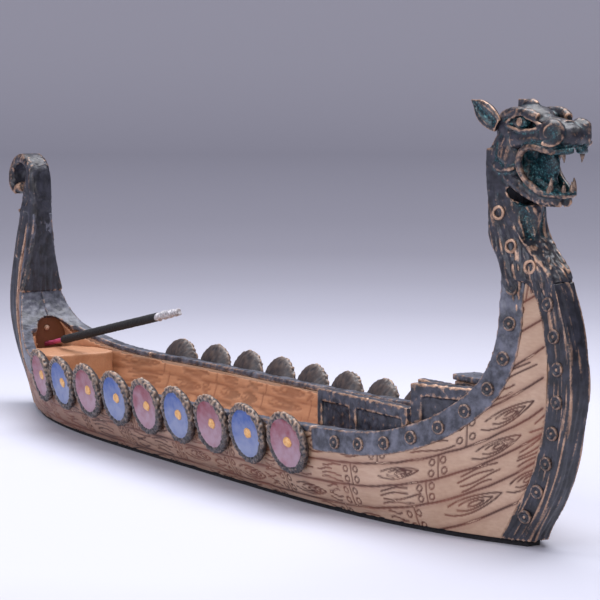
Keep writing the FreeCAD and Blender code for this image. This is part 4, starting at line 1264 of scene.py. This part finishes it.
    def ear(self, side: Side, material: bpy.types.Material) -> None:
        """Cupped pointed ear that lies back."""
        axis = [(100.2, 3.9, 78.2), (98.6, 4.4, 79.3), (96.6, 5.0, 80.6), (94.6, 5.6, 81.9),
                (93.2, 6.0, 82.9)]
        piece = rod(mirrored(axis, side), [1.5, 2.3, 2.5, 1.5, 0.15])
        pick(piece)
        with whole_mesh():
            bpy.ops.transform.resize(value=(1, 0.55, 1), center_override=(0.097, 0.005 * side.value,
                                                                          0.0805))
        ear = Casting(joined([piece], "dragon_ear_" + side.word), 0.16, 2)
        cup = mirrored([(99.2, 6.0, 79.1), (96.8, 6.4, 80.6), (94.6, 6.6, 82.0)], side)
        wash = ear.stroke(cup, 2.2, -1.0)
        ear.wear(0.04)
        ear.paint("wash", wash * 1.6)
        finish_piece(ear.piece, material, ("ear_" + side.word,))

    def eye(self, side: Side, material: bpy.types.Material) -> None:
        """Eyeball with a raised ring on it."""
        centre = (107.5, 4.0 * side.value, 79.05)
        parts = [ball(centre, (1.35, 1.25, 1.25))]
        deselect()
        bpy.ops.mesh.primitive_torus_add(major_radius=0.68 * MM, minor_radius=0.15 * MM, major_segments=24,
                                         minor_segments=8, rotation=(math.radians(90 + 8 * side.value), 0,
                                                                     0), location=(0.1076,
                                                                                   0.00508 * side.value,
                                                                                   0.0791))
        parts.append(bpy.context.object)
        eye = Casting(joined(parts, "dragon_eye_" + side.word))
        ring = np.abs(eye.points[:, 1]) > 5.08
        eye.paint("rub", np.where(ring, 0.7, 0.0))
        eye.paint("wash", np.where(ring, 0.2, 0.9))
        finish_piece(eye.piece, material, ("eye_" + side.word,))

    def teeth(self, material: bpy.types.Material) -> None:
        """Upper fangs and lower teeth, each a group of bent cones."""
        for (name, node), cones in self.TEETH.items():
            group = Casting(joined([rod(mirrored(path, side), radii) for side in Side for path,
                                    radii in cones], name))
            for layer, strength in (("rub", 0.55), ("wash", 0.5)):
                group.paint(layer, np.full(len(group.points), strength))
            finish_piece(group.piece, material, (node,))

    def neck_studs(self, material: bpy.types.Material) -> None:
        """Ring studs that carry the row of the strap up the neck."""
        tree = search_tree("dragon_neck")
        rings = []
        for side in Side:
            for x, z in self.STUDS:
                lean = float(self.sway(z))
                place, normal = look(tree, x + lean, z, side)
                place = place - Vector((lean * MM, 0, 0))
                deselect()
                bpy.ops.mesh.primitive_torus_add(major_radius=1.1 * MM, minor_radius=0.3 * MM,
                                                 major_segments=32, minor_segments=10,
                                                 rotation=normal.to_track_quat("Z", "Y").to_euler(),
                                                 location=place + normal * 0.1 * MM)
                rings.append(bpy.context.object)
        studs = Casting(joined(rings, "neck_studs"))
        studs.press(coarse_noise(studs.points, (0.8, 0.8, 0.8), 8) * 0.06)
        studs.wear(0.045, 2)
        finish_piece(studs.piece, material, ("dragon_neck",))

    def build(self) -> None:
        """Make and dress the figurehead."""
        bronze = PatinatedResin("verdigris_resin", rub_start=0.34, rub_end=0.85).make()
        self.cast_head(bronze)
        self.neck_studs(bronze)
        for side in Side:
            self.ear(side, bronze)
            self.eye(side, bronze)
        self.teeth(bronze)


# ------------------------------------------------------------------ incense stick
@dataclass
class IncenseStick:
    """Dyed bamboo core with a charcoal coat, burnt to a crumbling ash at its tip."""

    voxel: float = 0.14

    def build(self) -> None:
        """Make and dress the stick."""
        bamboo = GrainyCoat("dyed_bamboo", "#8f2349", "#d8608c", 0.4, 0.55, 0.3, (0.12, 1, 1)).make()
        charcoal = GrainyCoat("pressed_charcoal", "#101012", "#2c2b2d", 0.25, 0.85, 0.8).make()
        ash = GrainyCoat("incense_ash", "#77757a", "#e6e3e6", 0.6, 0.9, 0.8).make()
        for node, name, finish, slot, relief, grain in (
                ("bamboo_core", "bamboo_splint", bamboo, "dyed_bamboo", 0.05, (3.0, 0.4, 0.4)),
                ("charcoal_coat", "incense_rod", charcoal, "charcoal", 0.06, (0.5, 0.5, 0.5)),
                ("ash_tip", "ash_column", ash, "ash", 0.2, (1.1, 1.1, 1.1))):
            part = Casting(node_copy(node), self.voxel, 1)
            part.press(coarse_noise(part.points, grain, 2) * relief)
            part.piece.name = name
            finish_piece(part.piece, finish, (node,), STICK)


# ------------------------------------------------------------------ studio
@dataclass
class Studio:
    """Pale floor that rises into a bowl, painted with a pool of light that darkens away from the middle, a
    large lamp overhead and a fill by the camera.
    """

    flat_radius: float = 0.42
    bowl_radius: float = 2.2
    bowl_height: float = 1.5
    rings: int = 14
    # reach of the painted pool of light on the floor, in m
    shade_radius: float = 1.2
    lens_mm: float = 144.0
    camera_place: tuple = (0.4582, -0.2694, 0.0926)
    camera_drop: float = 6.0165
    camera_bearing: float = 58.20

    def floor(self) -> None:
        """Make the floor and its bowl, with a painted pool of light: palest at the middle, greyer further
        out.
        """
        deselect()
        bpy.ops.mesh.primitive_circle_add(vertices=128, radius=self.flat_radius, fill_type="NGON")
        floor = bpy.context.object
        with whole_mesh():
            radius, height = self.flat_radius, 0.0
            for ring in range(1, self.rings + 1):
                turn = math.pi / 2 * ring / self.rings
                wider = self.flat_radius + (self.bowl_radius - self.flat_radius) * math.sin(turn)
                higher = self.bowl_height * (1 - math.cos(turn))
                bpy.ops.mesh.extrude_region_move(TRANSFORM_OT_translate={"value": (0, 0, higher - height)})
                bpy.ops.transform.resize(value=(wider / radius, wider / radius, 1), center_override=(0, 0,
                                                                                                     higher))
                radius, height = wider, higher
            bpy.ops.mesh.delete(type="ONLY_FACE")
        bpy.ops.object.shade_smooth()
        floor.name = "studio_floor"
        paint, add, place = new_paint("matt_floor_paint")
        # painted pool of light: the floor's colour greys with the distance from the middle
        reach = add("VectorMath", {0: place}, out="Value", operation="LENGTH")
        share = add("MapRange", {"Value": reach, "From Max": self.shade_radius})
        painted_light_pool = add("ValToRGB", {"Fac": share}, (
            (0.1, "#c9cad6"), (0.95, "#a9a7b3"), (0.26, "#9f9fac"), (0.42, "#84838f"), (0.66, "#7b7a86")))
        floor.data.materials.append(fed(paint, {"Base Color": painted_light_pool, "Roughness": 0.7}))

    def lamp(self, name: str, place: tuple, aim: tuple, width: float, power: float, colour: str) -> None:
        """Hang one square soft lamp."""
        light = bpy.data.lights.new(name, "AREA")
        light.size, light.energy, light.color = width, power, srgb(colour)[:3]
        lamp = bpy.data.objects.new(name, light)
        bpy.context.scene.collection.objects.link(lamp)
        lamp.location = place
        lamp.rotation_euler = (Vector(aim) - Vector(place)).to_track_quat("-Z", "Y").to_euler()

    def build(self) -> None:
        """Set up the floor, the lamps and the camera."""
        self.floor()
        self.lamp("overhead", (-0.1, 0.15, 0.9), (0, 0, 0), 0.9, 14.0, "#fbfbff")
        self.lamp("left_soft", (0.1, -0.9, 0.55), (0, 0, 0.02), 0.7, 5.0, "#f4f5ff")
        self.lamp("camera_fill", (0.9, -0.45, 0.35), (0, 0, 0.03), 0.5, 2.5, "#fff8f2")
        world = bpy.data.worlds.new("studio_air")
        world.use_nodes = True
        world.node_tree.nodes["Background"].inputs["Color"].default_value = srgb("#b9bac8")
        world.node_tree.nodes["Background"].inputs["Strength"].default_value = 0.5
        bpy.context.scene.world = world
        bpy.context.scene.view_settings.view_transform = "Standard"
        camera = bpy.data.objects.new("camera", bpy.data.cameras.new("camera"))
        camera.data.lens, camera.data.sensor_width = self.lens_mm, 36.0
        camera.data.clip_start = 0.01
        camera.location = self.camera_place
        camera.rotation_euler = (math.radians(90 - self.camera_drop), 0, math.radians(self.camera_bearing))
        bpy.context.scene.collection.objects.link(camera)
        bpy.context.scene.camera = camera


def main() -> None:
    """Build every sub-assembly."""
    logging.basicConfig(level=logging.INFO, format="%(name)s: %(message)s")
    Studio().build()
    Hull().build()
    BronzedTrim().build()
    SternScroll().build()
    paints = {stain: ShieldPaint(stain).make() for stain in Stain}
    boss_paint = GrainyCoat("boss_paint", "#c98f4a", "#eebf83", 0.8, 0.45, 0.3).make()
    for side in Side:
        ShieldRow(side).build(paints, boss_paint)
    Dragon().build()
    IncenseStick().build()


if __name__ == "__main__":
    main()
